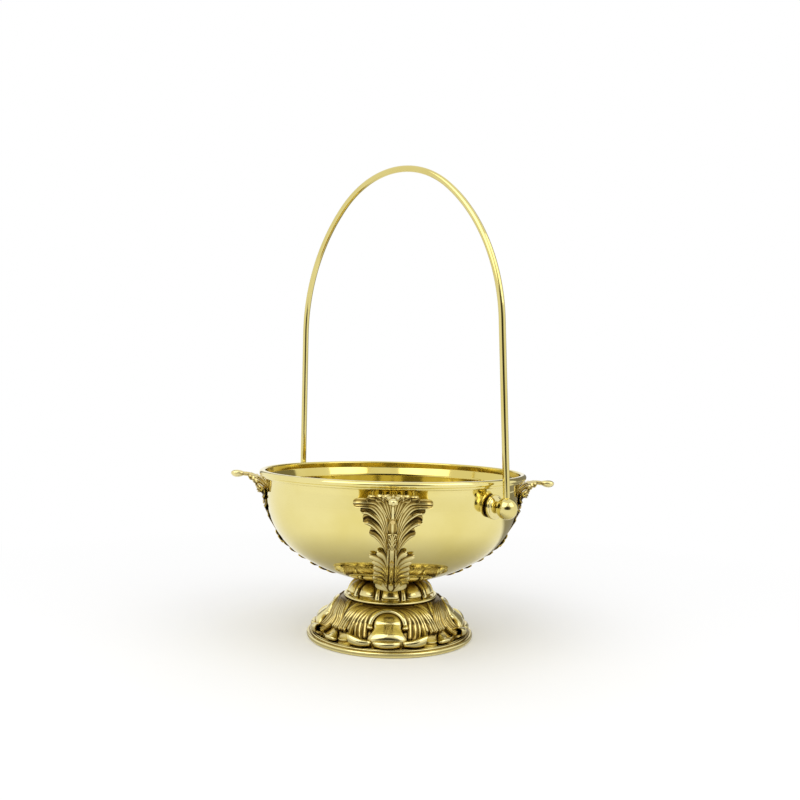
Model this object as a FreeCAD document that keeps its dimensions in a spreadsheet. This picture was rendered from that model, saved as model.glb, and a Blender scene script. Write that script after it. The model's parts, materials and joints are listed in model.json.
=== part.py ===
import FreeCAD, Part
import math
import os
import Sketcher

# Brass holy water pot: a spun bowl with four cast leaves, on a knop and a scrolled foot,
# with a bail that swings on two ball ends. Origin at the middle of the foot's underside,
# +Z up, the front leaf towards -Y, millimetres and degrees.

SIZES = {
    # Bowl: a base arc and a side arc that meet smoothly, a short neck and a flared, rolled lip.
    # The spring line, where the side stands upright, is measured up from the base.
    "bowl_radius": 94.5,
    "side_curve": 55.5,
    "spring_height": 67.0,
    "base_height": 41.0,
    "bowl_wall": 1.2,
    "neck_rise": 4.1,
    "lip_curve": 12.4,
    "lip_flare": 45.0,
    "lip_bead": 2.2,
    "ridge_bead": 1.3,
    "ridge_flare": 34.0,
    # Foot: flange, hollow skirt with a crown, and a ring around the knop
    "foot_radius": 62.2,
    "foot_edge": 1.6,
    "flange_height": 4.8,
    "flange_width": 4.7,
    "shoulder_radius": 44.5,
    "shoulder_height": 18.0,
    "crown_curve": 14.0,
    "skirt_curve": 26.0,
    "ring_radius": 35.0,
    "ring_width": 2.6,
    "ring_height": 2.2,
    "foot_height": 31.5,
    "web_drop": 1.5,
    "web_thickness": 3.5,
    "foot_wall": 3.2,
    # Ornament of the foot: cabochons under scroll arches, side volutes, fans and corner curls
    "cabochon_width": 27.0,
    "cabochon_length": 22.0,
    "cabochon_rise": 4.4,
    "arch_radius": 13.5,
    "arch_tube": 1.7,
    "volute_width": 13.6,
    "volute_length": 6.8,
    "volute_rise": 3.4,
    "volute_spread": 24.0,
    "curl_width": 11.5,
    "curl_length": 10.0,
    "curl_rise": 3.6,
    "fan_rib_count": 3,
    "fan_rib_length": 17.0,
    "fan_rib_width": 3.6,
    "fan_rib_rise": 1.9,
    "fan_start": 20.0,
    "fan_pitch": 7.0,
    "fan_lean": 18.0,
    "fan_lean_step": 14.0,
    # Knop: a tapered core with broad lobes and narrow reeds in turn
    "knop_low_radius": 25.5,
    "knop_top_radius": 19.5,
    "lobe_count": 10,
    "lobe_width": 14.6,
    "lobe_lift": 0.35,
    "reed_width": 4.4,
    # Bolt through bowl, knop and foot
    "bolt_radius": 4.0,
    "bolt_head_radius": 8.0,
    "bolt_head": 3.0,
    "bolt_seal_radius": 9.0,
    "bolt_seal": 1.2,
    "bolt_end": 2.5,
    "foot_washer_radius": 10.0,
    "foot_washer": 1.6,
    "foot_nut_radius": 7.5,
    "foot_nut": 6.5,
    # Leaves: a curved blade held off the bowl, flared at the top, with a rib and rolled ends.
    # The flare starts below the spring line, the shoulder curls sit above its start, and the
    # rolled tip is measured from the flare: out past its centre, and up over the blade's face.
    "leaf_gap": 2.0,
    "leaf_thickness": 3.0,
    "leaf_width": 50.0,
    "leaf_foot_radius": 42.0,
    "leaf_top": 0.9,
    "flare_height": 6.0,
    "flare_curve": 19.0,
    "tip_reach": 5.0,
    "tip_roll": 2.7,
    "tip_roll_width": 10.0,
    "rib_width": 4.6,
    "rib_rise": 1.5,
    "curl_ball": 3.0,
    "curl_height": 6.5,
    # Screws that hold each leaf from inside, their angles measured down from level
    "screw_radius": 1.5,
    "screw_head_radius": 2.9,
    "screw_head": 1.8,
    "screw_bite": 4.0,
    "screw_angle_high": 10.0,
    "screw_angle_low": 42.0,
    "screw_boss_radius": 3.6,
    "screw_seal_radius": 4.0,
    "screw_seal": 0.8,
    # Pivots: boss, shouldered pin, seal and cap nut, on an axis below the spring line
    "pivot_height": 2.6,
    "pivot_bearing": 45.0,
    "boss_radius": 8.0,
    "boss_edge": 1.4,
    "boss_nose": 4.4,
    "boss_dome": 6.5,
    "pin_radius": 2.5,
    "collar_radius": 3.5,
    "collar": 2.0,
    "pin_groove": 0.6,
    "pin_groove_width": 2.8,
    "pin_reach": 3.0,
    "pivot_seal_radius": 5.0,
    "pivot_seal": 1.0,
    "pivot_nut_radius": 4.7,
    "pivot_nut": 4.0,
    "pivot_nut_dome": 3.0,
    # Bail: balls on the pins and a bent rod, leaning a little from upright. The reach of the
    # balls and of the straight legs' upper ends is measured out from the bowl's side.
    "ball_radius": 7.5,
    "ball_reach": 12.75,
    "ball_flat": 0.5,
    "rod_radius": 2.35,
    "socket_floor": 3.4,
    "leg_rise": 125.7,
    "leg_reach": 8.6,
    "bail_rise": 244.0,
    "bail_top_curve": 86.0,
    "bail_lean": 1.84,
    "ball_screw_radius": 1.25,
    "ball_screw_sink": 0.8,
    # Clearances: seats that touch, turning and screwed fits, drilled holes, thrust faces,
    # flat rims on the hollow side of the wall
    "seat_gap": 0.05,
    "fit_gap": 0.05,
    "drill_gap": 0.2,
    "thrust_gap": 0.3,
    "boss_seat": 0.2,
    "seal_relief": 0.4,
    "pivot_seal_relief": 0.7,
}

# Bearings of what repeats around the pot, counted from +X towards +Y
LEAVES = {"leaf_right": 0, "leaf_back": 90, "leaf_left": 180, "leaf_front": 270}
SIDES = {"right": 0, "left": 180}
HALF_LEAF_PITCH = 180 / len(LEAVES)

# One half of a leaf's edge, from its foot to its tip: share of the half width, share of the height
LEAF_EDGE = [
    (0.26, 0.01), (0.42, 0.06), (0.32, 0.11), (0.46, 0.16), (0.34, 0.21), (0.44, 0.26),
    (0.37, 0.30), (0.62, 0.40), (0.27, 0.455), (0.36, 0.52), (0.60, 0.61), (0.56, 0.66),
    (0.76, 0.70), (0.70, 0.75), (0.84, 0.785), (0.80, 0.81), (1.00, 0.84), (0.92, 0.885),
    (0.55, 0.90), (0.36, 0.94), (0.28, 0.985),
]

X = FreeCAD.Vector(1, 0, 0)
Y = FreeCAD.Vector(0, 1, 0)
Z = FreeCAD.Vector(0, 0, 1)
ORIGIN = FreeCAD.Vector(0, 0, 0)

doc = FreeCAD.newDocument("holy_water_pot")
sheet = doc.addObject("Spreadsheet::Sheet", "sizes")
for row, (alias, size) in enumerate(SIZES.items(), start=1):
    sheet.set(f"A{row}", alias)
    sheet.set(f"B{row}", str(size))
    sheet.setAlias(f"B{row}", alias)
doc.recompute()

pieces = {}


def value(expression):
    """The number that an expression of sheet cells comes to."""
    return float(sheet.evalExpression(expression))


def bind(thing, **expressions):
    """Tie properties of an object to expressions of sheet cells."""
    for name, expression in expressions.items():
        thing.setExpression(name, expression)
    return thing


def keep(label, thing):
    """Name a finished piece after its file."""
    thing.Label = label
    pieces[label] = thing
    return thing


def origin_plane(body, role):
    return next(plane for plane in body.Origin.OriginFeatures if plane.Role == role)


def new_sketch(body, name, role="XZ_Plane"):
    sketch = body.newObject("Sketcher::SketchObject", name)
    sketch.AttachmentSupport = [(origin_plane(body, role), "")]
    sketch.MapMode = "FlatFace"
    return sketch


def hold(sketch, geometry, end, across, up):
    """Fix one end of a line or arc at two expressions measured from the sketch's origin."""
    for kind, axis, expression in (("DistanceX", -2, across), ("DistanceY", -1, up)):
        if expression == "0":
            sketch.addConstraint(Sketcher.Constraint("PointOnObject", geometry, end, axis))
            continue
        place = Sketcher.Constraint(kind, -1, 1, geometry, end, value(expression))
        index = sketch.addConstraint(place)
        sketch.setExpression(f"Constraints[{index}]", expression)


def trace(sketch, corners, closed=True):
    """Draw straight lines and arcs from corner to corner.

    A corner is (across, up). With (radius, turn) added, the stretch that leads to it is an arc
    that turns left for +1 and right for -1.
    """
    ends = []
    count = len(corners)
    first = 0 if closed else 1
    for index in range(first, count):
        start = FreeCAD.Vector(value(corners[index - 1][0]), value(corners[index - 1][1]), 0)
        stop = FreeCAD.Vector(value(corners[index][0]), value(corners[index][1]), 0)
        if len(corners[index]) == 2:
            line = sketch.addGeometry(Part.LineSegment(start, stop))
            ends.append((line, 1, 2))
            continue
        radius, turn = corners[index][2:]
        size = value(radius)
        chord = stop - start
        offset = math.sqrt(size ** 2 - chord.Length ** 2 / 4) / chord.Length * turn
        centre = (start + stop) / 2 + FreeCAD.Vector(-chord.y, chord.x, 0) * offset
        low, high = (start, stop) if turn > 0 else (stop, start)
        span = [math.atan2(p.y - centre.y, p.x - centre.x) for p in (low, high)]
        arc = sketch.addGeometry(Part.ArcOfCircle(Part.Circle(centre, Z, size), *span))
        index = sketch.addConstraint(Sketcher.Constraint("Radius", arc, size))
        sketch.setExpression(f"Constraints[{index}]", radius)
        ends.append((arc, 1, 2) if turn > 0 else (arc, 2, 1))
    pairs = zip(ends, ends[1:] + ends[:1]) if closed else zip(ends, ends[1:])
    for (one, _, tail), (other, head, _) in pairs:
        sketch.addConstraint(Sketcher.Constraint("Coincident", one, tail, other, head))
    for (geometry, _, tail), corner in zip(ends, corners[first:]):
        hold(sketch, geometry, tail, corner[0], corner[1])
    if not closed:
        hold(sketch, ends[0][0], ends[0][1], corners[0][0], corners[0][1])


def revolve(body, name, corners):
    """Turn a closed section, drawn as radius and height, about the body's Z axis."""
    sketch = new_sketch(body, f"{name}_section")
    trace(sketch, corners)
    feature = body.newObject("PartDesign::Revolution", name)
    feature.Profile = sketch
    feature.ReferenceAxis = (sketch, ["V_Axis"])
    feature.Angle = 360
    return feature


def turned(label, corners):
    """A lathe-turned piece."""
    body = doc.addObject("PartDesign::Body", label)
    revolve(body, f"{label}_turning", corners)
    return body


def ring_turn(body, name, across, up, radius):
    """Add a round bead around the body's Z axis."""
    sketch = new_sketch(body, f"{name}_section")
    centre = FreeCAD.Vector(value(across), value(up), 0)
    circle = sketch.addGeometry(Part.Circle(centre, Z, value(radius)))
    index = sketch.addConstraint(Sketcher.Constraint("Radius", circle, value(radius)))
    sketch.setExpression(f"Constraints[{index}]", radius)
    hold(sketch, circle, 3, across, up)
    feature = body.newObject("PartDesign::Revolution", name)
    feature.Profile = sketch
    feature.ReferenceAxis = (sketch, ["V_Axis"])
    feature.Angle = 360


def cylinder(name, radius, height, placement=None):
    piece = bind(doc.addObject("Part::Cylinder", name), Radius=radius, Height=height)
    if placement:
        piece.Placement = placement
    return piece


def ellipsoid(name, along, wide, proud, placement):
    """A full ellipsoid of three sizes: its height, then its X and Y widths."""
    piece = doc.addObject("Part::Ellipsoid", name)
    bind(piece, Radius1=f"({along}) / 2", Radius2=f"({wide}) / 2", Radius3=f"({proud}) / 2")
    piece.Angle1 = -90
    piece.Placement = placement
    return piece


def fuse(name, shapes):
    piece = doc.addObject("Part::MultiFuse", name)
    piece.Shapes = shapes
    return piece


def cut(name, base, tool):
    piece = doc.addObject("Part::Cut", name)
    piece.Base = base
    piece.Tool = tool
    return piece


def compound(name, links):
    piece = doc.addObject("Part::Compound", name)
    piece.Links = links
    return piece


def bearing(angle):
    """A turn about the pot's own axis, or about the Z of the placement before it."""
    return FreeCAD.Placement(ORIGIN, FreeCAD.Rotation(Z, angle))


# Curves of the bowl that its neighbours follow. An offset is measured out from its outer face.
SPRING = "(sizes.base_height + sizes.spring_height)"
SIDE_CENTRE = "(sizes.bowl_radius - sizes.side_curve)"
BASE_CURVE = (f"((sizes.spring_height^2 + {SIDE_CENTRE}^2 - sizes.side_curve^2)"
              " / (2 * (sizes.spring_height - sizes.side_curve)))")
NECK_TOP = f"({SPRING} + sizes.neck_rise)"
FLARE_CENTRE = "(sizes.bowl_radius + sizes.lip_curve)"
PIVOT = f"({SPRING} - sizes.pivot_height)"
WALL_AT_PIVOT = f"({SIDE_CENTRE} + sqrt(sizes.side_curve^2 - sizes.pivot_height^2))"

# The bail's balls and legs, from the pot's own axis, and the ball's flat, from its centre
BALL_REACH = "(sizes.bowl_radius + sizes.ball_reach)"
LEG_REACH = "(sizes.bowl_radius + sizes.leg_reach)"
BALL_FACE = "(sizes.ball_radius - sizes.ball_flat)"


def knuckle(offset):
    """Where the base arc meets the side arc, at an offset from the outer face."""
    share = f"({BASE_CURVE} + ({offset})) / ({BASE_CURVE} - sizes.side_curve)"
    across = f"{share} * {SIDE_CENTRE}"
    drop = f"{share} * ({BASE_CURVE} - sizes.spring_height)"
    return across, f"sizes.base_height + {BASE_CURVE} - {drop}"


def flare_point(offset, angle):
    """A point of the lip's flare, at an offset inwards from its outer face."""
    across = f"{FLARE_CENTRE} - (sizes.lip_curve + {offset}) * cos({angle})"
    return across, f"{NECK_TOP} + (sizes.lip_curve + {offset}) * sin({angle})"


def screw_placement(turn, angle):
    """Local Z runs out of the bowl along a leaf screw, from the centre of the side arc."""
    lie = FreeCAD.Placement(FreeCAD.Vector(value(SIDE_CENTRE), 0, value(SPRING)),
                            FreeCAD.Rotation(Y, 90 + value(f"sizes.{angle}")))
    return bearing(turn) * lie


SCREWS = [(name, turn, angle) for name, turn in LEAVES.items()
          for angle in ("screw_angle_high", "screw_angle_low")]


def along(placement, distance):
    """A placement moved out along its own Z."""
    return placement * FreeCAD.Placement(FreeCAD.Vector(0, 0, value(distance)), FreeCAD.Rotation())


def pivot_placement(turn):
    """Local Z runs out along the pivot axis, from the pot's own axis."""
    level = FreeCAD.Placement(FreeCAD.Vector(0, 0, value(PIVOT)), FreeCAD.Rotation(Y, 90))
    return bearing(turn - value("sizes.pivot_bearing")) * level


def make_bowl():
    inside = "-sizes.bowl_wall"
    body = doc.addObject("PartDesign::Body", "bowl_spinning")
    revolve(body, "bowl_wall", [
        ("0", "sizes.base_height"),
        (*knuckle("0"), BASE_CURVE, 1),
        ("sizes.bowl_radius", SPRING, "sizes.side_curve", 1),
        ("sizes.bowl_radius", NECK_TOP),
        (*flare_point("0", "sizes.lip_flare"), "sizes.lip_curve", -1),
        flare_point("sizes.bowl_wall", "sizes.lip_flare"),
        (f"sizes.bowl_radius {inside}", NECK_TOP, "sizes.lip_curve + sizes.bowl_wall", 1),
        (f"sizes.bowl_radius {inside}", SPRING),
        (*knuckle(inside), "sizes.side_curve - sizes.bowl_wall", -1),
        ("0", "sizes.base_height + sizes.bowl_wall", f"{BASE_CURVE} - sizes.bowl_wall", -1),
    ])
    ring_turn(body, "lip", *flare_point("sizes.bowl_wall / 2", "sizes.lip_flare"), "sizes.lip_bead")
    ring_turn(body, "ridge", *flare_point("0", "sizes.ridge_flare"), "sizes.ridge_bead")

    drills = []
    for name, turn, angle in SCREWS:
        drills.append(cylinder(f"{name}_{angle}_drill", "sizes.screw_radius + sizes.drill_gap",
                               "sizes.side_curve + sizes.leaf_gap", screw_placement(turn, angle)))
    for side, turn in SIDES.items():
        drills.append(cylinder(f"pivot_drill_{side}", "sizes.pin_radius + sizes.drill_gap",
                               "sizes.bowl_radius + sizes.lip_curve", pivot_placement(turn)))
    drills.append(cylinder("bolt_drill", "sizes.bolt_radius + sizes.drill_gap", SPRING))
    keep("bowl", cut("bowl_drilled", body, compound("bowl_drills", drills)))


def skirt_place(height):
    """A spot on the foot's skirt: its placement faces out of the skirt along local Z."""
    toe = FreeCAD.Vector(value("sizes.foot_radius - sizes.flange_width"), 0, value("sizes.flange_height"))
    shoulder = FreeCAD.Vector(value("sizes.shoulder_radius"), 0, value("sizes.shoulder_height"))
    slope = shoulder - toe
    spot = toe + slope * ((height - toe.z) / slope.z)
    return FreeCAD.Placement(spot, FreeCAD.Rotation(Y, math.degrees(math.atan2(slope.z, -slope.x))))


def foot_ornament():
    """Under each leaf a cabochon with its arch, volutes and fans, and curls between them."""
    high = value("sizes.shoulder_height")
    low = value("sizes.flange_height")
    middle = (high + low) / 2
    lower = (middle + low) / 2
    spread = value("sizes.volute_spread")
    ornament = []
    for index, turn in enumerate(LEAVES.values()):
        here = bearing(turn)
        ornament.append(ellipsoid(f"cabochon_{index}", "2 * sizes.cabochon_rise", "sizes.cabochon_length",
                                  "sizes.cabochon_width", here * skirt_place(middle)))
        arch = bind(doc.addObject("Part::Torus", f"arch_{index}"), Radius1="sizes.arch_radius",
                    Radius2="sizes.arch_tube")
        arch.Angle3 = 180
        arch.Placement = here * skirt_place(middle) * bearing(90)
        ornament.append(arch)
        for hand, name in ((-1, "left"), (1, "right")):
            flank = bearing(turn + hand * spread) * skirt_place(lower)
            ornament.append(ellipsoid(f"volute_{name}_{index}", "2 * sizes.volute_rise",
                                      "sizes.volute_length", "sizes.volute_width", flank))
            for rib in range(int(value("sizes.fan_rib_count"))):
                across = hand * value(f"sizes.fan_start + {rib} * sizes.fan_pitch")
                lean = hand * value(f"sizes.fan_lean - {rib} * sizes.fan_lean_step")
                ornament.append(ellipsoid(f"fan_rib_{name}_{index}_{rib}", "2 * sizes.fan_rib_rise",
                                          "sizes.fan_rib_length", "sizes.fan_rib_width",
                                          bearing(turn + across) * skirt_place(high) * bearing(lean)))
        between = bearing(turn + HALF_LEAF_PITCH)
        ornament.append(ellipsoid(f"corner_curl_{index}", "2 * sizes.curl_rise", "sizes.curl_length",
                                  "sizes.curl_width", between * skirt_place(lower)))
    return ornament


def make_foot():
    web_top = "sizes.foot_height - sizes.web_drop"
    web_under = f"{web_top} - sizes.web_thickness"
    drilled = "sizes.bolt_radius + sizes.drill_gap"
    toe = "sizes.foot_radius - sizes.flange_width"
    ring_under = "sizes.foot_height - sizes.ring_height"
    body = doc.addObject("PartDesign::Body", "foot_casting")
    revolve(body, "foot_outside", [
        (drilled, "0"),
        ("sizes.foot_radius - sizes.foot_edge", "0"),
        ("sizes.foot_radius", "sizes.foot_edge", "sizes.foot_edge", 1),
        ("sizes.foot_radius", "sizes.flange_height - sizes.foot_edge"),
        ("sizes.foot_radius - sizes.foot_edge", "sizes.flange_height", "sizes.foot_edge", 1),
        (toe, "sizes.flange_height"),
        ("sizes.shoulder_radius", "sizes.shoulder_height", "sizes.skirt_curve", -1),
        ("sizes.ring_radius - sizes.ring_height / 2", ring_under, "sizes.crown_curve", 1),
        ("sizes.ring_radius", ring_under),
        ("sizes.ring_radius", "sizes.foot_height"),
        ("sizes.ring_radius - sizes.ring_width", "sizes.foot_height"),
        ("sizes.ring_radius - sizes.ring_width", web_top),
        (drilled, web_top),
    ])
    hollow = turned("foot_hollow", [
        ("0", "0"),
        (f"{toe} - sizes.foot_wall", "0"),
        (f"{toe} - sizes.foot_wall", "sizes.flange_height"),
        ("sizes.shoulder_radius - sizes.foot_wall", "sizes.shoulder_height - sizes.foot_wall"),
        ("sizes.ring_radius - sizes.ring_width", web_under),
        ("0", web_under),
    ])
    keep("foot", cut("foot_cored", fuse("foot_whole", [body] + foot_ornament()), hollow))


def make_knop():
    base = "sizes.foot_height - sizes.web_drop"
    height = f"sizes.base_height - ({base}) + sizes.knop_low_radius^2 / (2 * {BASE_CURVE})"
    taper = "(sizes.knop_low_radius - sizes.knop_top_radius)"
    core = doc.addObject("Part::Cone", "knop_core")
    bind(core, Radius1="sizes.knop_low_radius", Radius2="sizes.knop_top_radius", Height=height)
    core.Placement.Base.z = value(base)
    shapes = [core]
    count = int(value("sizes.lobe_count"))
    pitch = 360 / count
    lobe_spot = FreeCAD.Vector(value(f"sizes.knop_low_radius - {taper} * sizes.lobe_lift"), 0,
                               value(f"({base}) + ({height}) * sizes.lobe_lift"))
    reed_spot = FreeCAD.Vector(value("sizes.knop_low_radius"), 0, value(base))
    reed_lean = math.degrees(math.atan2(value(taper), value(height)))
    for index in range(count):
        lobe = bind(doc.addObject("Part::Sphere", f"lobe_{index}"), Radius="sizes.lobe_width / 2")
        lobe.Placement = bearing(index * pitch - 90) * FreeCAD.Placement(lobe_spot, FreeCAD.Rotation())
        reed = cylinder(f"reed_{index}", "sizes.reed_width / 2", height)
        reed.Placement = bearing((index + 0.5) * pitch - 90) * FreeCAD.Placement(
            reed_spot, FreeCAD.Rotation(Y, -reed_lean))
        shapes += [lobe, reed]
    lobed = fuse("knop_lobed", shapes)
    blank = cylinder("knop_blank", "sizes.knop_low_radius + sizes.lobe_width", height)
    blank.Placement.Base.z = value(base)
    trimmed = doc.addObject("Part::Common", "knop_trimmed")
    trimmed.Base = lobed
    trimmed.Tool = blank
    dish = bind(doc.addObject("Part::Sphere", "knop_dish"), Radius=f"{BASE_CURVE} + sizes.seat_gap")
    dish.Placement.Base.z = value(f"sizes.base_height + {BASE_CURVE}")
    bore = cylinder("knop_bore", "sizes.bolt_radius + sizes.drill_gap", SPRING)
    keep("knop", cut("knop_seated", cut("knop_bored", trimmed, bore), dish))


def make_foot_bolt():
    web_under = "sizes.foot_height - sizes.web_drop - sizes.web_thickness"
    washer_under = f"{web_under} - sizes.foot_washer"
    nut_under = f"{washer_under} - sizes.foot_nut"
    seal_under = "sizes.base_height + sizes.bowl_wall + sizes.seal_relief"
    head_under = f"{seal_under} + sizes.bolt_seal"
    head_top = f"{head_under} + sizes.bolt_head"
    bore = "sizes.bolt_radius + sizes.fit_gap"
    keep("foot_bolt", turned("foot_bolt_turned", [
        ("0", f"{nut_under} - sizes.bolt_end"),
        ("sizes.bolt_radius", f"{nut_under} - sizes.bolt_end"),
        ("sizes.bolt_radius", head_under),
        ("sizes.bolt_head_radius", head_under),
        ("0", head_top, "(sizes.bolt_head_radius^2 + sizes.bolt_head^2) / (2 * sizes.bolt_head)", 1),
    ]))
    keep("foot_bolt_seal", turned("foot_bolt_seal_cut", [
        (bore, seal_under), ("sizes.bolt_seal_radius", seal_under),
        ("sizes.bolt_seal_radius", head_under), (bore, head_under),
    ]))
    keep("foot_washer", turned("foot_washer_cut", [
        (bore, washer_under), ("sizes.foot_washer_radius", washer_under),
        ("sizes.foot_washer_radius", web_under), (bore, web_under),
    ]))
    blank = doc.addObject("Part::Prism", "foot_nut_blank")
    blank.Polygon = 6
    bind(blank, Circumradius="sizes.foot_nut_radius", Height="sizes.foot_nut")
    hole = cylinder("foot_nut_hole", bore, "sizes.foot_nut")
    nut = keep("foot_nut", cut("foot_nut_tapped", blank, hole))
    nut.Placement.Base.z = value(nut_under)


def leaf_flare():
    """The centre of the curve that turns a leaf outwards, and how far below level it starts."""
    middle = value("sizes.side_curve + sizes.leaf_gap + sizes.leaf_thickness / 2")
    start = math.asin(value("sizes.flare_height") / middle)
    out = middle + value("sizes.flare_curve")
    return FreeCAD.Vector(value(SIDE_CENTRE) + out * math.cos(start), 0,
                          value(SPRING) - out * math.sin(start)), start


def leaf_tip():
    """The middle of a leaf's rolled tip."""
    flare, _ = leaf_flare()
    face = flare.z + value("sizes.flare_curve + sizes.leaf_thickness / 2")
    return FreeCAD.Vector(flare.x + value("sizes.tip_reach - sizes.tip_roll"), 0,
                          face + value("sizes.leaf_top - sizes.tip_roll"))


def leaf_band(inner, outer, half_angle):
    """A blade around +X between two offsets from the bowl, from the leaf's foot to its tip."""
    base_curve = value(BASE_CURVE)
    side_curve = value("sizes.side_curve")
    side = FreeCAD.Vector(value(SIDE_CENTRE), 0, value(SPRING))
    base = FreeCAD.Vector(0, 0, value("sizes.base_height") + base_curve)
    middle = value("sizes.leaf_gap + sizes.leaf_thickness / 2")
    flare_curve = value("sizes.flare_curve")
    flare, rise = leaf_flare()
    bend = math.atan2(side.x, base.z - side.z)
    foot = math.asin(value("sizes.leaf_foot_radius") / (base_curve + middle))

    def spot(centre, radius, angle):
        return centre + FreeCAD.Vector(math.sin(angle), 0, -math.cos(angle)) * radius

    def runs(offset):
        """Arcs of one face of the blade, from foot to tip, each as three points."""
        low, high = base_curve + offset, side_curve + offset
        turn = flare_curve + middle - offset
        level = math.pi / 2 - rise
        return [
            [spot(base, low, foot), spot(base, low, (foot + bend) / 2), spot(base, low, bend)],
            [spot(side, high, bend), spot(side, high, (bend + level) / 2), spot(side, high, level)],
            [spot(flare, turn, level + math.pi), spot(flare, turn, (level + math.pi + math.pi) / 2),
             spot(flare, turn, math.pi)],
        ]

    near, far = runs(inner), runs(outer)
    run_out = X * value("sizes.tip_reach - sizes.tip_roll")
    edges = [Part.Arc(*points).toShape() for points in near + far]
    corners = [(near[0][0], far[0][0]), (near[2][2], near[2][2] + run_out),
               (far[2][2], far[2][2] + run_out), (near[2][2] + run_out, far[2][2] + run_out)]
    edges += [Part.LineSegment(*ends).toShape() for ends in corners]
    face = Part.Face(Part.Wire(Part.__sortEdges__(edges)))
    face.rotate(ORIGIN, Z, -half_angle)
    return face.revolve(ORIGIN, Z, 2 * half_angle)


def leaf_edge_prism():
    """The lobed outline of a leaf, seen from the front and run through its depth."""
    half = value("sizes.leaf_width / 2")
    foot = value("sizes.leaf_foot_radius")
    base_curve = value(BASE_CURVE)
    low = value("sizes.base_height") + base_curve - math.sqrt(base_curve ** 2 - foot ** 2)
    low -= value("sizes.leaf_gap + sizes.leaf_thickness")
    tip = leaf_tip() + FreeCAD.Vector(1, 0, 1) * value("sizes.tip_roll")
    tall = tip.z - low
    right = [FreeCAD.Vector(0, share * half, low + rise * tall) for share, rise in LEAF_EDGE]
    left = [FreeCAD.Vector(0, -point.y, point.z) for point in reversed(right)]
    points = [FreeCAD.Vector(0, 0, low)] + right + [FreeCAD.Vector(0, 0, low + tall)] + left
    outline = Part.BSplineCurve()
    outline.interpolate(Points=points, PeriodicFlag=True)
    face = Part.Face(Part.Wire(outline.toShape()))
    return face.extrude(X * tip.x)


def leaf_shape():
    """A leaf facing +X: lobed blade, rib, rolled tip, curled shoulders and screw bosses."""
    gap = value("sizes.leaf_gap")
    face = gap + value("sizes.leaf_thickness")
    reach = value("sizes.bowl_radius")
    spread = math.degrees(value("sizes.leaf_width") / reach)
    blade = leaf_band(gap, face, spread).common(leaf_edge_prism())
    rib_angle = math.degrees(value("sizes.rib_width / 2") / reach)
    rib = leaf_band((gap + face) / 2, face + value("sizes.rib_rise"), rib_angle)

    roll = value("sizes.tip_roll")
    wide = value("sizes.tip_roll_width")
    added = [rib, Part.makeCylinder(roll, wide, leaf_tip() - Y * (wide / 2), Y)]
    curl_height = value(f"{SPRING} - sizes.flare_height + sizes.curl_height")
    for hand in (-1, 1):
        across = hand * (value("sizes.leaf_width / 2 - sizes.curl_ball"))
        out = math.sqrt((reach + face) ** 2 - across ** 2)
        added.append(Part.makeSphere(value("sizes.curl_ball"),
                                     FreeCAD.Vector(out, across, curl_height)))
    seat = value("sizes.side_curve + sizes.seat_gap")
    bores = []
    for angle in ("screw_angle_high", "screw_angle_low"):
        place = screw_placement(0, angle)
        out = place.Rotation.multVec(Z)
        start = place.Base + out * seat
        bite = value("sizes.screw_bite")
        added.append(Part.makeCylinder(value("sizes.screw_boss_radius"), bite, start, out))
        thread = value("sizes.screw_radius + sizes.fit_gap")
        bores.append(Part.makeCylinder(thread, bite + value("sizes.fit_gap"), start, out))
    return blade.multiFuse(added).cut(bores).removeSplitter()


def make_leaves():
    shape = leaf_shape()
    for label, turn in LEAVES.items():
        leaf = doc.addObject("Part::Feature", f"{label}_casting")
        leaf.Shape = shape
        leaf.Placement = bearing(turn)
        keep(label, leaf)


def make_leaf_screws():
    inside = "sizes.side_curve - sizes.bowl_wall - sizes.seal_relief"
    under_head = f"{inside} - sizes.screw_seal"
    screws, seals = [], []
    for name, turn, angle in SCREWS:
        place = screw_placement(turn, angle)
        head = cylinder(f"{name}_{angle}_head", "sizes.screw_head_radius", "sizes.screw_head",
                        along(place, f"{under_head} - sizes.screw_head"))
        shank = cylinder(f"{name}_{angle}_shank", "sizes.screw_radius",
                         f"sizes.side_curve + sizes.seat_gap + sizes.screw_bite - ({under_head})"
                         " + sizes.screw_head / 2", along(place, f"{under_head} - sizes.screw_head / 2"))
        screws.append(fuse(f"{name}_{angle}_screw", [head, shank]))
        disc = cylinder(f"{name}_{angle}_disc", "sizes.screw_seal_radius", "sizes.screw_seal",
                        along(place, under_head))
        hole = cylinder(f"{name}_{angle}_hole", "sizes.screw_radius + sizes.fit_gap", "sizes.screw_seal",
                        along(place, under_head))
        seals.append(cut(f"{name}_{angle}_seal", disc, hole))
    keep("leaf_screws", compound("leaf_screw_set", screws))
    keep("leaf_seals", compound("leaf_seal_set", seals))


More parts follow.
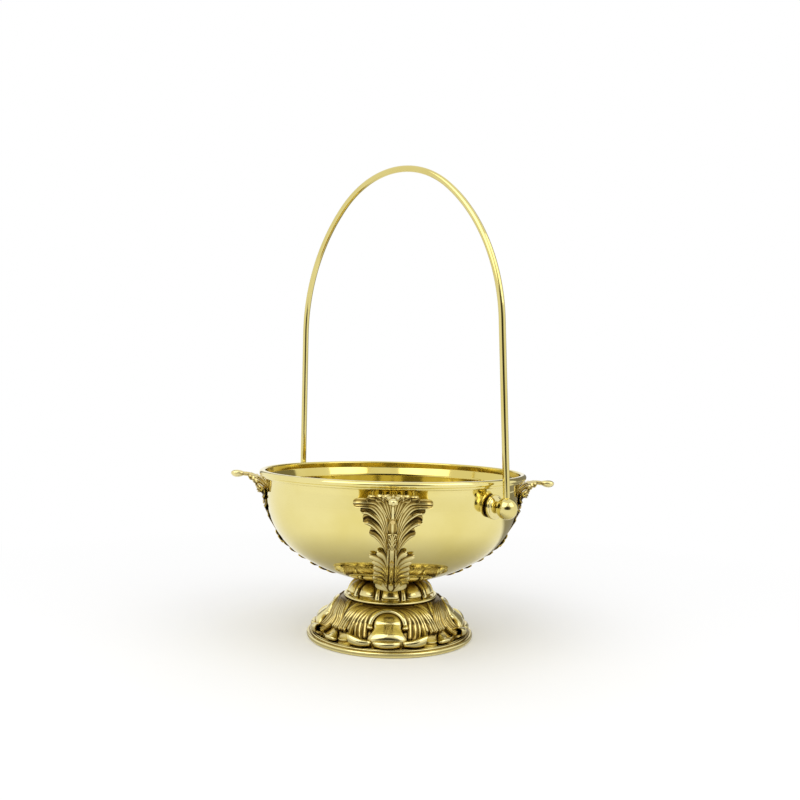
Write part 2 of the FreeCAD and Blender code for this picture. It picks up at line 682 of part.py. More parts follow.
def make_pivots():
    back = "sizes.bowl_radius + sizes.boss_seat"
    front = f"{BALL_REACH} - {BALL_FACE} - sizes.thrust_gap"
    step = f"{front} - sizes.collar"
    bore = "sizes.pin_radius + sizes.fit_gap"
    well = "sizes.collar_radius + sizes.fit_gap"
    seal_out = f"{WALL_AT_PIVOT} - sizes.bowl_wall - sizes.pivot_seal_relief"
    seal_in = f"{seal_out} - sizes.pivot_seal"
    nut_in = f"{seal_in} - sizes.pivot_nut"
    groove = "sizes.pin_radius - sizes.pin_groove"
    groove_half = "sizes.pin_groove_width / 2"
    nut_flat = "(sizes.pivot_nut_radius * cos(30))"
    for side, turn in SIDES.items():
        place = pivot_placement(turn)
        boss = turned(f"pivot_boss_{side}_turned", [
            (bore, back), ("sizes.boss_radius", back), ("sizes.boss_radius", f"{back} + sizes.boss_edge"),
            ("sizes.boss_nose", front, "sizes.boss_dome", 1), (well, front), (well, step), (bore, step),
        ])
        pin = turned(f"pivot_pin_{side}_turned", [
            ("0", nut_in), ("sizes.pin_radius", nut_in), ("sizes.pin_radius", step),
            ("sizes.collar_radius", step), ("sizes.collar_radius", front), ("sizes.pin_radius", front),
            ("sizes.pin_radius", f"{BALL_REACH} - {groove_half}"),
            (groove, f"{BALL_REACH} - {groove_half}"), (groove, f"{BALL_REACH} + {groove_half}"),
            ("sizes.pin_radius", f"{BALL_REACH} + {groove_half}"),
            ("sizes.pin_radius", f"{BALL_REACH} + sizes.pin_reach"),
            ("0", f"{BALL_REACH} + sizes.pin_reach"),
        ])
        seal = turned(f"pivot_seal_{side}_cut", [
            (bore, seal_in), ("sizes.pivot_seal_radius", seal_in), ("sizes.pivot_seal_radius", seal_out),
            (bore, seal_out),
        ])
        blank = doc.addObject("Part::Prism", f"pivot_nut_{side}_blank")
        blank.Polygon = 6
        bind(blank, Circumradius="sizes.pivot_nut_radius", Height="sizes.pivot_nut")
        blank.Placement.Base.z = value(nut_in)
        dome = turned(f"pivot_nut_{side}_dome", [
            ("0", nut_in),
            ("0", f"{nut_in} - sizes.pivot_nut_dome"),
            (nut_flat, nut_in, f"({nut_flat}^2 + sizes.pivot_nut_dome^2) / (2 * sizes.pivot_nut_dome)", 1),
        ])
        hole = cylinder(f"pivot_nut_{side}_hole", bore, "sizes.pivot_nut")
        hole.Placement.Base.z = value(nut_in)
        nut = cut(f"pivot_nut_{side}_tapped", fuse(f"pivot_nut_{side}_whole", [blank, dome]), hole)
        for label, piece in (("boss", boss), ("pin", pin), ("seal", seal), ("nut", nut)):
            keep(f"pivot_{label}_{side}", piece).Placement = place


def leg_tilt():
    """How far each leg of the bail leans in, in degrees."""
    return math.degrees(math.atan2(value("sizes.ball_reach - sizes.leg_reach"), value("sizes.leg_rise")))


def bail_placement():
    """Local X runs along the pivot axis and local Z up the leaning bail."""
    lean = FreeCAD.Rotation(X, value("sizes.bail_lean"))
    swing = FreeCAD.Placement(FreeCAD.Vector(0, 0, value(PIVOT)), lean)
    return bearing(-value("sizes.pivot_bearing")) * swing


def make_balls():
    bore = "sizes.pin_radius + sizes.fit_gap"
    bore_end = "sizes.pin_reach + sizes.thrust_gap"
    screw_tip = "sizes.pin_radius - sizes.pin_groove + sizes.drill_gap"
    screw_length = f"sizes.ball_radius - sizes.ball_screw_sink - ({screw_tip})"
    inward = FreeCAD.Placement(ORIGIN, FreeCAD.Rotation(Y, -90))
    leg = FreeCAD.Placement(ORIGIN, FreeCAD.Rotation(Y, -leg_tilt()))
    down = FreeCAD.Placement(ORIGIN, FreeCAD.Rotation(X, 180))
    for side, turn in SIDES.items():
        hand = bail_placement() * bearing(turn) * FreeCAD.Placement(X * value(BALL_REACH),
                                                                    FreeCAD.Rotation())
        ball = bind(doc.addObject("Part::Sphere", f"ball_{side}_blank"), Radius="sizes.ball_radius")
        tools = [
            cylinder(f"ball_{side}_face", "sizes.ball_radius", "sizes.ball_radius",
                     along(inward, BALL_FACE)),
            cylinder(f"ball_{side}_bore", bore, f"sizes.ball_radius + {bore_end}",
                     along(inward, f"-({bore_end})")),
            cylinder(f"ball_{side}_socket", "sizes.rod_radius + sizes.fit_gap", "sizes.ball_radius",
                     along(leg, "sizes.socket_floor")),
            cylinder(f"ball_{side}_tapping", "sizes.ball_screw_radius + sizes.fit_gap", "sizes.ball_radius",
                     down),
        ]
        drilled = cut(f"ball_{side}_drilled", ball, fuse(f"ball_{side}_tools", tools))
        keep(f"bail_ball_{side}", drilled).Placement = hand
        screw = cylinder(f"ball_screw_{side}_thread", "sizes.ball_screw_radius", screw_length,
                         hand * along(down, screw_tip))
        keep(f"ball_screw_{side}", screw)


def make_rod():
    """Half of the arch swept along two arcs and a straight leg, then mirrored."""
    lean_cos = "(sizes.leg_rise / sqrt(sizes.leg_rise^2 + (sizes.ball_reach - sizes.leg_reach)^2))"
    lean_sin = ("((sizes.ball_reach - sizes.leg_reach)"
                " / sqrt(sizes.leg_rise^2 + (sizes.ball_reach - sizes.leg_reach)^2))")
    drop = "(sizes.leg_rise - sizes.bail_rise + sizes.bail_top_curve)"
    side_curve = (f"((sizes.bail_top_curve^2 - {LEG_REACH}^2 - {drop}^2)"
                  f" / (2 * (sizes.bail_top_curve - {LEG_REACH} * {lean_cos} - {drop} * {lean_sin})))")
    share = f"sizes.bail_top_curve / ({side_curve} - sizes.bail_top_curve)"
    seat = "(sizes.socket_floor + sizes.seat_gap)"
    join = (f"({side_curve} * {lean_cos} - {LEG_REACH}) * {share}",
            f"sizes.bail_rise - sizes.bail_top_curve"
            f" + (({side_curve} * {lean_sin}) - {drop}) * {share}")
    body = doc.addObject("PartDesign::Body", "bail_rod_bending")
    spine = new_sketch(body, "bail_spine")
    trace(spine, [
        (f"{BALL_REACH} - {seat} * {lean_sin}", f"{seat} * {lean_cos}"),
        (LEG_REACH, "sizes.leg_rise"),
        (*join, side_curve, 1),
        ("0", "sizes.bail_rise", "sizes.bail_top_curve", 1),
    ], closed=False)
    section = new_sketch(body, "bail_section", "YZ_Plane")
    centre = FreeCAD.Vector(0, value("sizes.bail_rise"), 0)
    circle = section.addGeometry(Part.Circle(centre, Z, value("sizes.rod_radius")))
    index = section.addConstraint(Sketcher.Constraint("Radius", circle, value("sizes.rod_radius")))
    section.setExpression(f"Constraints[{index}]", "sizes.rod_radius")
    hold(section, circle, 3, "0", "sizes.bail_rise")
    doc.recompute()
    half = body.newObject("PartDesign::AdditivePipe", "bail_half")
    half.Profile = section
    half.Spine = (spine, [f"Edge{edge}" for edge in (1, 2, 3)])
    doc.recompute()
    whole = body.newObject("PartDesign::Mirrored", "bail_whole")
    whole.Originals = [half]
    whole.MirrorPlane = (origin_plane(body, "YZ_Plane"), [""])
    body.Tip = whole
    body.Placement = bail_placement()
    keep("bail_rod", body)


make_bowl()
make_foot()
make_knop()
make_foot_bolt()
make_leaves()
make_leaf_screws()
make_pivots()
make_balls()
make_rod()
doc.recompute()

for thing in doc.Objects:
    if "Invalid" in thing.State or "Error" in thing.State:
        raise RuntimeError(f"{thing.Label} did not build: {thing.State}")
for label, piece in pieces.items():
    if piece.Shape.isNull() or not piece.Shape.isValid():
        raise RuntimeError(f"{label} has no valid shape")

os.makedirs("parts", exist_ok=True)
for label, piece in pieces.items():
    piece.Shape.exportStep(f"parts/{label}.step")
    print(label, len(piece.Shape.Solids), round(piece.Shape.Volume, 1))
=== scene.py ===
import json
import math
from functools import partial

import bmesh
import bpy
import numpy as np
from mathutils import Matrix, Quaternion, Vector
from mathutils.bvhtree import BVHTree


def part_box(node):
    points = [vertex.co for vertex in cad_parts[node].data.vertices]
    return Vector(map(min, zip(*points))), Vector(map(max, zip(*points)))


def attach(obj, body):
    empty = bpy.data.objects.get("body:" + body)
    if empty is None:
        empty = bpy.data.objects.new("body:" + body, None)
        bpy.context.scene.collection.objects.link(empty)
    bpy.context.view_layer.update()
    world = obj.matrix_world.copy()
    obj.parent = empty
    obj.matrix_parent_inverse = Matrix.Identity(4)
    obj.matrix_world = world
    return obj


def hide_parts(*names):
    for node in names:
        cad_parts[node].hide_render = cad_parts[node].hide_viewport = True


# Looks of a brass holy water pot: a spun and polished bowl with four cast leaves, on a lobed
# knop and a scrolled foot, with a bail that swings on two ball ends. Meshes are drawn in
# millimetres, in the frame of the solids, and scaled to metres when a piece is finished.
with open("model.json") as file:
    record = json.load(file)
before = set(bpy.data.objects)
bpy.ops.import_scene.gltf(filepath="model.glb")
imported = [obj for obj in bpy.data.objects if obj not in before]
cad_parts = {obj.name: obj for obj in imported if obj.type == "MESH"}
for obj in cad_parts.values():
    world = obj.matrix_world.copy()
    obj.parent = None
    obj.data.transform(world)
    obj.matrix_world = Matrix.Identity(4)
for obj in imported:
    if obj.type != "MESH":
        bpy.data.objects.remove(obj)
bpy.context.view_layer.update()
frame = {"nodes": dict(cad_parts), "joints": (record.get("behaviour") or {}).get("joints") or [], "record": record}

MM = 0.001
FULL_TURN = 2 * math.pi
QUARTER_TURN = math.pi / 2
bowl_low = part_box("bowl")[0] / MM
foot_low, foot_high = (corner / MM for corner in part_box("foot"))
swing = frame["joints"][0]

# Bowl: a base arc and a side arc, a neck, a flared collar and a rolled lip
BASE_HEIGHT = bowl_low.z
BOWL_RADIUS = 94.5
SIDE_CURVE = 55.5
SPRING_HEIGHT = 67.0
BOWL_WALL = 1.2
NECK_RISE = 4.1
LIP_CURVE = 12.4
LIP_BEAD = 2.2
LIP_FLARE = math.radians(45)
LIP_SWEEP = (math.radians(-40), math.radians(90))
LIP_EDGE = 1.2
RIDGE_BEAD = 1.3
RIDGE_FLARE = math.radians(34)
RIDGE_SWEEP = (math.radians(-70), math.radians(35))
BAND_DEPTH = 3.9
CONE_FOOT = 0.8

SPRING = BASE_HEIGHT + SPRING_HEIGHT
NECK_TOP = SPRING + NECK_RISE
SIDE_CENTRE = BOWL_RADIUS - SIDE_CURVE
BASE_CURVE = ((SPRING_HEIGHT ** 2 + SIDE_CENTRE ** 2 - SIDE_CURVE ** 2)
              / (2 * (SPRING_HEIGHT - SIDE_CURVE)))
BEND = math.atan2(SIDE_CENTRE, BASE_CURVE - SPRING_HEIGHT)
BASE_MIDDLE = (0.0, BASE_HEIGHT + BASE_CURVE)
SIDE_MIDDLE = (SIDE_CENTRE, SPRING)
COLLAR_MIDDLE = (BOWL_RADIUS + LIP_CURVE, NECK_TOP)

# Foot: flange with a scored line, concave skirt, crown and ring
FOOT_RADIUS = foot_high.x
FOOT_EDGE = 1.6
FLANGE_HEIGHT = 4.8
RIM_TOP = 3.7
RIM_EDGE = 1.2
RIM_WIDTH = 2.5
TREAD_EDGE = 0.6
SCORE_HALF = 0.3
SCORE_DEPTH = 0.4
TOE_RADIUS = FOOT_RADIUS - 4.7
SHOULDER = (44.5, 18.0)
SKIRT_CURVE = 26.0
CROWN_CURVE = 14.0
RING_RADIUS = 35.0
RING_TOP = foot_high.z
RING_HEIGHT = 2.2
RING_WIDTH = 2.6
WEB_TOP = RING_TOP - 1.5
WEB_UNDER = WEB_TOP - 3.5
FOOT_WALL = 3.2
BOLT_HOLE = 4.2

# Knop: a round collar with lobes between darts. Their half widths are degrees round the pot, their
# tops lie past the collar's, and their ends above its foot.
LOBES = 10
KNOP_LOW = (29.6, WEB_TOP)
KNOP_TOP = (18.4, BASE_HEIGHT + 1.6)
KNOP_CURVE = 13.5
KNOP_SPREAD = 2.0
LOBE_HALF = 13.8
LOBE_TOP = 1.0
LOBE_END = 0.2
PETAL_HALF = 12.4
PETAL_TOP = -2.0
PETAL_END = 1.4
DART_HALF = 3.6

# Leaves: a blade held off the bowl, flared at the top, with two screw bosses on its back
LEAF_OFF = 0.8
LEAF_FOOT_RADIUS = 42.0
FLARE_DROP = 4.5
FLARE_CURVE = 16.0
TIP_RUN = 8.0
SCREW_DROPS = (10.0, 42.0)
SCREW_BOSS = 3.6
SCREW_BOSS_DEPTH = 0.8
SCREW_BOSS_OFF = 0.55

# Pivots and bail
PIVOT_HEIGHT = swing["pos_m"][2] / MM
PIVOT_BEARING = math.atan2(swing["axis"][1], swing["axis"][0])
BALL_REACH = BOWL_RADIUS + 12.75
BALL_RADIUS = 7.5
BALL_FACE = 7.0
BOSS_RADIUS = 8.4
BOSS_BACK = BOWL_RADIUS + 0.2
BOSS_FRONT = BALL_REACH - BALL_FACE - 0.3
BOSS_EDGE = 1.0
BOSS_SIDE = 2.6
BOSS_BORE = 2.6
UNDERCUT = 0.5
UNDERCUT_HEIGHT = 0.9
UNDERCUT_TOP = 1.6
DOME_TOP = 3.6
DOME_CURVE = 9.0
ROD_RADIUS = 2.35
LEG_RISE = 125.7
LEG_REACH = BOWL_RADIUS + 8.6
LEG_START = 3.45
BAIL_RISE = 244.0
BAIL_TOP_CURVE = 86.0
BAIL_LEAN = math.radians(1.84)


# Curves and turned profiles

def arc(centre, radius, start, stop, steps):
    """Points of an arc, its angles counted in radians from the first axis."""
    angles = np.linspace(start, stop, steps + 1)
    return [(centre[0] + radius * math.cos(a), centre[1] + radius * math.sin(a)) for a in angles]


def arc_between(start, stop, radius, turn, steps):
    """Points of an arc of a radius from start to stop that turns left for +1, right for -1."""
    start, stop = Vector(start), Vector(stop)
    chord = stop - start
    offset = math.sqrt(radius ** 2 - chord.length_squared / 4) / chord.length * turn
    centre = (start + stop) / 2 + Vector((-chord.y, chord.x)) * offset
    first = math.atan2(start.y - centre.y, start.x - centre.x)
    sweep = (start - centre).angle_signed(stop - centre) * -1
    return arc(centre, radius, first, first + sweep, steps)


def bend(points, share):
    """The point at a share of the way along the smooth curve that these points pull."""
    while len(points) > 1:
        points = [(a[0] + (b[0] - a[0]) * share, a[1] + (b[1] - a[1]) * share)
                  for a, b in zip(points, points[1:])]
    return points[0]


def through(points, share):
    """The point at a share of the way along a smooth line through these points."""
    first = [2 * a - b for a, b in zip(points[0], points[1])]
    last = [2 * a - b for a, b in zip(points[-1], points[-2])]
    points = [first, *points, last]
    spot = share * (len(points) - 3)
    index = min(max(int(spot), 0), len(points) - 4)
    t = spot - index

    def blend(a, b, c, d):
        square = 2 * a - 5 * b + 4 * c - d
        cube = 3 * b - a - 3 * c + d
        return b + ((c - a) * t + square * t ** 2 + cube * t ** 3) / 2

    return tuple(blend(*values) for values in zip(*points[index:index + 4]))


def upright(start, stop):
    """A line up or down the middle of a surface."""
    return partial(bend, [(0, start), (0, stop)])


def both_sides(line):
    """A line and its mirror image on the other side of the middle."""
    return line, lambda share: (-line(share)[0], line(share)[1])


def ease(share, start=0.0, run=1.0):
    """A smooth step from 0 to 1 over a run from the start."""
    share = min(max((share - start) / run, 0.0), 1.0)
    return share * share * (3 - 2 * share)


def rounded(share, start, stop):
    """1 along a strap, falling to 0 as a quarter round over its first and last shares."""
    from_end = min(share / start if start else 1.0, (1 - share) / stop if stop else 1.0, 1.0)
    return math.sqrt(max(0.0, 1 - (1 - from_end) ** 2))


def plump(size, start, stop):
    """A size along a strap that is rounded off over its first and last shares."""
    return lambda share: size * rounded(share, start, stop)


def surface(points, bearing=0.0, run_out=20.0):
    """A way to place things on a turned surface: across it, along its meridian and out of it.

    The meridian is a line of (radius, height) points, and goes on straight past its ends.
    """
    line = np.array(points)
    first, last = line[0] - line[1], line[-1] - line[-2]
    line = np.vstack([line[0] + first / np.linalg.norm(first) * run_out, line,
                      line[-1] + last / np.linalg.norm(last) * run_out])
    steps = np.linalg.norm(np.diff(line, axis=0), axis=1)
    runs = np.concatenate([[0.0], np.cumsum(steps)]) - run_out
    slopes = np.gradient(line, runs, axis=0)

    def place(across, along, out):
        radius = np.interp(along, runs, line[:, 0])
        reach = radius + out * np.interp(along, runs, slopes[:, 1])
        height = np.interp(along, runs, line[:, 1]) - out * np.interp(along, runs, slopes[:, 0])
        angle = bearing + across / radius
        return Vector((reach * math.cos(angle), reach * math.sin(angle), height))

    place.length = runs[-2]
    return place


# Mesh making

WELD = 0.0005
BMVert = bmesh.types.BMVert
BMEdge = bmesh.types.BMEdge
BMFace = bmesh.types.BMFace


def only(kind, geom):
    """The items of one kind among those that an operator gives back."""
    return [item for item in geom if isinstance(item, kind)]


def everything(bm):
    """All vertices, edges and faces of a bmesh."""
    return bm.verts[:] + bm.edges[:] + bm.faces[:]


def weld(bm):
    """Close the seams of a bmesh."""
    bmesh.ops.remove_doubles(bm, verts=bm.verts, dist=WELD)


def face_out(bm):
    """Point all faces of a bmesh outwards."""
    bmesh.ops.recalc_face_normals(bm, faces=bm.faces)


def turn_round(bm, angle, verts):
    """Turn some vertices about the Z axis."""
    bmesh.ops.rotate(bm, cent=(0, 0, 0), matrix=Matrix.Rotation(angle, 3, "Z"), verts=verts)


def lathe(points, steps, closed=True, angle=FULL_TURN):
    """A bmesh turned from a profile of (radius, height) points about the Z axis."""
    bm = bmesh.new()
    verts = [bm.verts.new((radius, 0, height)) for radius, height in points]
    for one, other in zip(verts, verts[1:]):
        bm.edges.new((one, other))
    if closed:
        bm.edges.new((verts[-1], verts[0]))
    bmesh.ops.spin(bm, geom=everything(bm), cent=(0, 0, 0), axis=(0, 0, 1), dvec=(0, 0, 0),
                   angle=angle, steps=steps, use_merge=angle == FULL_TURN)
    weld(bm)
    face_out(bm)
    return bm


def patina_and_shade_layer(bm):
    """The layer that says how dark each vertex of a casting is with patina and painted shade, from 0 to 1."""
    layers = bm.verts.layers.float
    return layers.get("patina_and_shade") or layers.new("patina_and_shade")


def lay(bm, columns, rows, shape, shade):
    """Lay out a grid by functions of two shares from 0 to 1, and close its seams."""
    layer = patina_and_shade_layer(bm)
    verts = bmesh.ops.create_grid(bm, x_segments=columns, y_segments=rows, size=0.5)["verts"]
    for vert in verts:
        shares = vert.co.x + 0.5, vert.co.y + 0.5
        vert[layer] = shade(*shares)
        vert.co = shape(*shares)
    bmesh.ops.remove_doubles(bm, verts=verts, dist=WELD)


# Patina and painted shade along a strap's edges, in its grooves, in its hollow and on its back
EDGE_DARK = 0.34
GROOVE_DARK = 0.52
HOLLOW_DARK = 0.6
BACK_DARK = 0.14

# Shares of a strap's length: its tilt and hollow grow in, its root clears, and its tip is bared
GROW_FROM, GROW_RUN = 0.3, 0.5
ROOT_RUN = 0.35
BARE_FROM, BARE_RUN = 0.5, 0.35

# Shares of a strap's half width and height: its hollow, its lowered side and its round edge
HOLLOW_MIDDLE, HOLLOW_HALF = 0.25, 0.7
LOW_FROM, LOW_RUN = 0.1, 0.7
EDGE_HEIGHT = 0.75


def strap(bm, place, line, half_width, rise, lift=None, tilt=0.0, flutes=0, flute_depth=0.0,
          cup=0.0, sink=1.2, face=0.8, dark=1.0, root_dark=0.0, low_dark=0.0, bare_tip=0.0,
          along=36, around=28):
    """A closed strap of metal along a line on a surface, crowned, fluted, tilted or cupped.

    line, half_width, rise and lift are functions of the share of the way along. Tilt lifts the
    strap's right edge, and the cup hollows its face towards the end, both in millimetres. A low
    face value makes the face flat and its edges steep. Edges, grooves and hollows are as dark
    with patina and painted shade as the dark value says, from 0 to 1. Root and low values add
    painted shade where the strap starts and a painted shadow on the side that its tilt lowers,
    and a bare tip has less on its edges.
    """
    step = 0.5 / along

    def section(share, turn):
        over, up = math.cos(FULL_TURN * turn), math.sin(FULL_TURN * turn)
        groove = (1 - math.cos(flutes * math.pi * over)) / 2 if flutes else 0.0
        grown = ease(share, GROW_FROM, GROW_RUN)
        hollow = grown * max(0.0, 1 - ((over - HOLLOW_MIDDLE) / HOLLOW_HALF) ** 2)
        return over, up, groove, grown, hollow

    def shape(share, turn):
        x, y = line(share)
        x_back, y_back = line(share - step)
        x_on, y_on = line(share + step)
        length = math.hypot(x_on - x_back, y_on - y_back)
        side = ((y_back - y_on) / length, (x_on - x_back) / length)
        over, up, groove, grown, hollow = section(share, turn)
        wide = half_width(share) * over
        out = (lift(share) if lift else 0.0) - tilt * over * grown
        if share in (0.0, 1.0):
            wide = 0.0
        elif up > 0:
            out += rise(share) * (up ** face - flute_depth * groove * up) - cup * hollow * up
        else:
            out += sink * up * min(1.0, rise(share) / rise(0.5))
        return place(x + side[0] * wide, y + side[1] * wide, out)

    def shade(share, turn):
        over, up, groove, _, hollow = section(share, turn)
        # The back, facing the surface it lies on, gets painted shade along with the patina
        if up <= 0:
            return dark * BACK_DARK
        # Painted shade with the patina along the edges, at the root, in the grooves and in the hollow, and a
        # painted shadow on the lowered side
        bared = 1 - bare_tip * ease(share, BARE_FROM, BARE_RUN)
        edge = EDGE_DARK * (1 - ease(up / EDGE_HEIGHT)) * bared
        root = root_dark * (1 - ease(share / ROOT_RUN))
        low_side = low_dark * ease(over, LOW_FROM, LOW_RUN)
        in_hollow = HOLLOW_DARK * hollow ** 2 * min(1.0, cup)
        return dark * min(1.0, root + edge + low_side + GROOVE_DARK * groove + in_hollow)

    lay(bm, along, around, shape, shade)


def roll(bm, place, line, radius, bore, out, along=36, around=24):
    """A rolled edge along a line on a surface: a tube, hollow at the ends that its radius leaves open."""

    def shape(share, turn):
        outer = share <= 0.5
        run = share * 2 if outer else 2 - share * 2
        x, y = line(run)
        reach = radius(run) * (1.0 if outer else bore)
        angle = FULL_TURN * turn
        return place(x, y + reach * math.cos(angle), out(run) + reach * math.sin(angle))

    # Painted shade inside the roll's hollow, as on a strap's back
    lay(bm, along, around, shape, lambda share, turn: 0.0 if share <= 0.5 else BACK_DARK)


def keep_side(bm):
    """Cut a bmesh along the XZ plane and keep what lies on the +Y side."""
    bmesh.ops.bisect_plane(bm, geom=everything(bm), plane_co=(0, 0, 0), plane_no=(0, -1, 0),
                           clear_outer=True)


def mirror_side(bm):
    """The bmesh and its mirror image across the XZ plane, joined along that plane."""
    new = bmesh.ops.duplicate(bm, geom=everything(bm))["geom"]
    bmesh.ops.scale(bm, vec=(1, -1, 1), verts=only(BMVert, new))
    bmesh.ops.reverse_faces(bm, faces=only(BMFace, new))
    weld(bm)
    return bm


def copies_around(bm, count):
    """The bmesh repeated about the Z axis, with seams closed."""
    start = everything(bm)
    for index in range(1, count):
        new = bmesh.ops.duplicate(bm, geom=start)["geom"]
        turn_round(bm, FULL_TURN * index / count, only(BMVert, new))
    weld(bm)
    return bm


def tree_of(*meshes):
    """All faces of some bmeshes, ready to be hit by rays."""
    spots, faces = [], []
    for bm in meshes:
        start = len(spots)
        bm.verts.index_update()
        spots += [vert.co.copy() for vert in bm.verts]
        faces += [[start + vert.index for vert in face.verts] for face in bm.faces]
    return BVHTree.FromPolygons(spots, faces)


def sky(count):
    """Directions spread evenly over a ball, to look for what hides a spot from the light."""
    golden_turn = math.pi * (3 - math.sqrt(5))
    ways = []
    for number in range(count):
        level = 1 - 2 * (number + 0.5) / count
        ring = math.sqrt(1 - level ** 2)
        angle = number * golden_turn
        ways.append(Vector((ring * math.cos(angle), ring * math.sin(angle), level)))
    return ways


SKY = sky(44)
GRAZING = 0.15
RAY_START = 0.12


def age_and_shade(bm, tree, depth, weight):
    """Darken each spot by how much of its sky is hidden within a depth: patina that gathers there, and painted
    shade.
    """
    bm.normal_update()
    layer = patina_and_shade_layer(bm)
    for vert in bm.verts:
        start = vert.co + vert.normal * RAY_START
        seen = hidden = 0.0
        for way in SKY:
            facing = way.dot(vert.normal)
            if facing < GRAZING:
                continue
            seen += facing
            if tree.ray_cast(start, way, depth)[0] is not None:
                hidden += facing
        vert[layer] = 1 - (1 - vert[layer]) * (1 - weight * hidden / seen)


def finish_sector(bm, count, depth, weight):
    """Darken one sector of a casting under the bowl with patina and painted shade where its neighbours and the
    bowl hide its sky, then repeat it all round.
    """
    whole = copies_around(bm.copy(), count)
    face_out(whole)
    # The bowl counts too, so it paints shade on the parts below it
    bowl = lathe(bowl_wall(0.0), steps=90, closed=False)
    tree = tree_of(whole, bowl)
    whole.free()
    bowl.free()
    face_out(bm)
    age_and_shade(bm, tree, depth, weight)
    copies_around(bm, count)
    face_out(bm)


def piece(name, bm, material, body, nodes=(), sharp=35.0):
    """Turn a bmesh in millimetres into a finished piece that rides on a body."""
    bmesh.ops.scale(bm, vec=(MM, MM, MM), verts=bm.verts)
    mesh = bpy.data.meshes.new(name)
    bm.to_mesh(mesh)
    bm.free()
    mesh.shade_smooth()
    mesh.set_sharp_from_angle(angle=math.radians(sharp))
    mesh.materials.append(material)
    thing = bpy.data.objects.new(name, mesh)
    bpy.context.scene.collection.objects.link(thing)
    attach(thing, body)
    if nodes:
        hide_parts(*nodes)


# Materials

# How far the painted shade marked on the bowl's inside moves polished brass to its inner tone, and cast brass from
# buffed to dark with patina and painted shade
INNER_SHIFT = -0.4
PATINA_AND_SHADE_TONES = [(0.05, (0.79, 0.69, 0.32)), (0.26, (0.51, 0.39, 0.12)),
                (0.50, (0.22, 0.145, 0.03)), (0.80, (0.05, 0.028, 0.007))]


def new_material(name, metallic=0.0):
    """A new material, its node tree and its surface shader."""
    material = bpy.data.materials.new(name)
    material.use_nodes = True
    tree = material.node_tree
    bsdf = tree.nodes["Principled BSDF"]
    bsdf.inputs["Metallic"].default_value = metallic
    return material, tree, bsdf


def noise(tree, scale, detail, stretch=None):
    """Noise over Object coordinates, stretched along the axes if asked."""
    source = tree.nodes.new("ShaderNodeTexCoord").outputs["Object"]
    if stretch:
        mapping = tree.nodes.new("ShaderNodeMapping")
        mapping.inputs["Scale"].default_value = stretch
        tree.links.new(source, mapping.inputs["Vector"])
        source = mapping.outputs["Vector"]
    texture = tree.nodes.new("ShaderNodeTexNoise")
    texture.inputs["Scale"].default_value = scale
    texture.inputs["Detail"].default_value = detail
    tree.links.new(source, texture.inputs["Vector"])
    return texture.outputs["Fac"]


def patina_and_shade(tree):
    """How dark a spot is with patina and painted shade, from 0 to 1."""
    depth = tree.nodes.new("ShaderNodeAttribute")
    depth.attribute_name = "patina_and_shade"
    return depth.outputs["Fac"]


def reckon(tree, operation, *values):
    """The result of a sum on numbers and on the outputs of other nodes."""
    node = tree.nodes.new("ShaderNodeMath")
    node.operation = operation
    for value, entry in zip(values, node.inputs):
        if isinstance(value, float):
            entry.default_value = value
        else:
            tree.links.new(value, entry)
    return node.outputs["Value"]


def spread(tree, source, low, high):
    """A number moved from 0..1 to low..high."""
    node = tree.nodes.new("ShaderNodeMapRange")
    node.inputs["To Min"].default_value = low
    node.inputs["To Max"].default_value = high
    tree.links.new(source, node.inputs["Value"])
    return node.outputs["Result"]


def tint(tree, bsdf, source, stops):
    """Colour a surface by a number, with stops of (number, colour)."""
    node = tree.nodes.new("ShaderNodeValToRGB")
    elements = node.color_ramp.elements
    while len(elements) < len(stops):
        elements.new(0.5)
    for element, (position, colour) in zip(elements, stops):
        element.position = position
        element.color = (*colour, 1.0)
    tree.links.new(source, node.inputs["Fac"])
    tree.links.new(node.outputs["Color"], bsdf.inputs["Base Color"])


def gloss(tree, bsdf, source, low, high):
    """Roughness that goes from low to high with a number."""
    tree.links.new(spread(tree, source, low, high), bsdf.inputs["Roughness"])


def bump(tree, bsdf, source, strength, distance):
    """Fine relief that follows a number."""
    node = tree.nodes.new("ShaderNodeBump")
    node.inputs["Strength"].default_value = strength
    node.inputs["Distance"].default_value = distance
    tree.links.new(source, node.inputs["Height"])
    tree.links.new(node.outputs["Normal"], bsdf.inputs["Normal"])


def polished_brass(name, pale, deep, inner):
    """Mirror-polished brass with faint turning lines and clouding, deeper where the layer marks painted shade, as
    on the bowl's inside.
    """
    material, tree, bsdf = new_material(name, metallic=1.0)
    clouds = noise(tree, scale=22.0, detail=4.0)
    tone = reckon(tree, "MULTIPLY_ADD", patina_and_shade(tree), INNER_SHIFT, clouds)
    tint(tree, bsdf, tone, [(0.1, inner), (0.3, deep), (0.62, pale)])
    smear = noise(tree, scale=60.0, detail=6.0)
    gloss(tree, bsdf, smear, low=0.05, high=0.13)
    turning = noise(tree, scale=160.0, detail=1.0, stretch=(0.03, 0.03, 1.0))
    bump(tree, bsdf, turning, strength=0.02, distance=0.0002)
    return material


def antique_brass(name, low, high, mottling, grain):
    """Brass buffed bright in the open and dark with patina and painted shade in its hollows and where it is
    hidden.
    """
    material, tree, bsdf = new_material(name, metallic=1.0)
    mottle = noise(tree, scale=160.0, detail=5.0)
    tone = reckon(tree, "ADD", patina_and_shade(tree), spread(tree, mottle, -mottling, mottling))
    tint(tree, bsdf, tone, PATINA_AND_SHADE_TONES)
    gloss(tree, bsdf, tone, low, high)
    sand = noise(tree, scale=1400.0, detail=3.0)
    bump(tree, bsdf, sand, strength=grain, distance=0.0003)
    return material


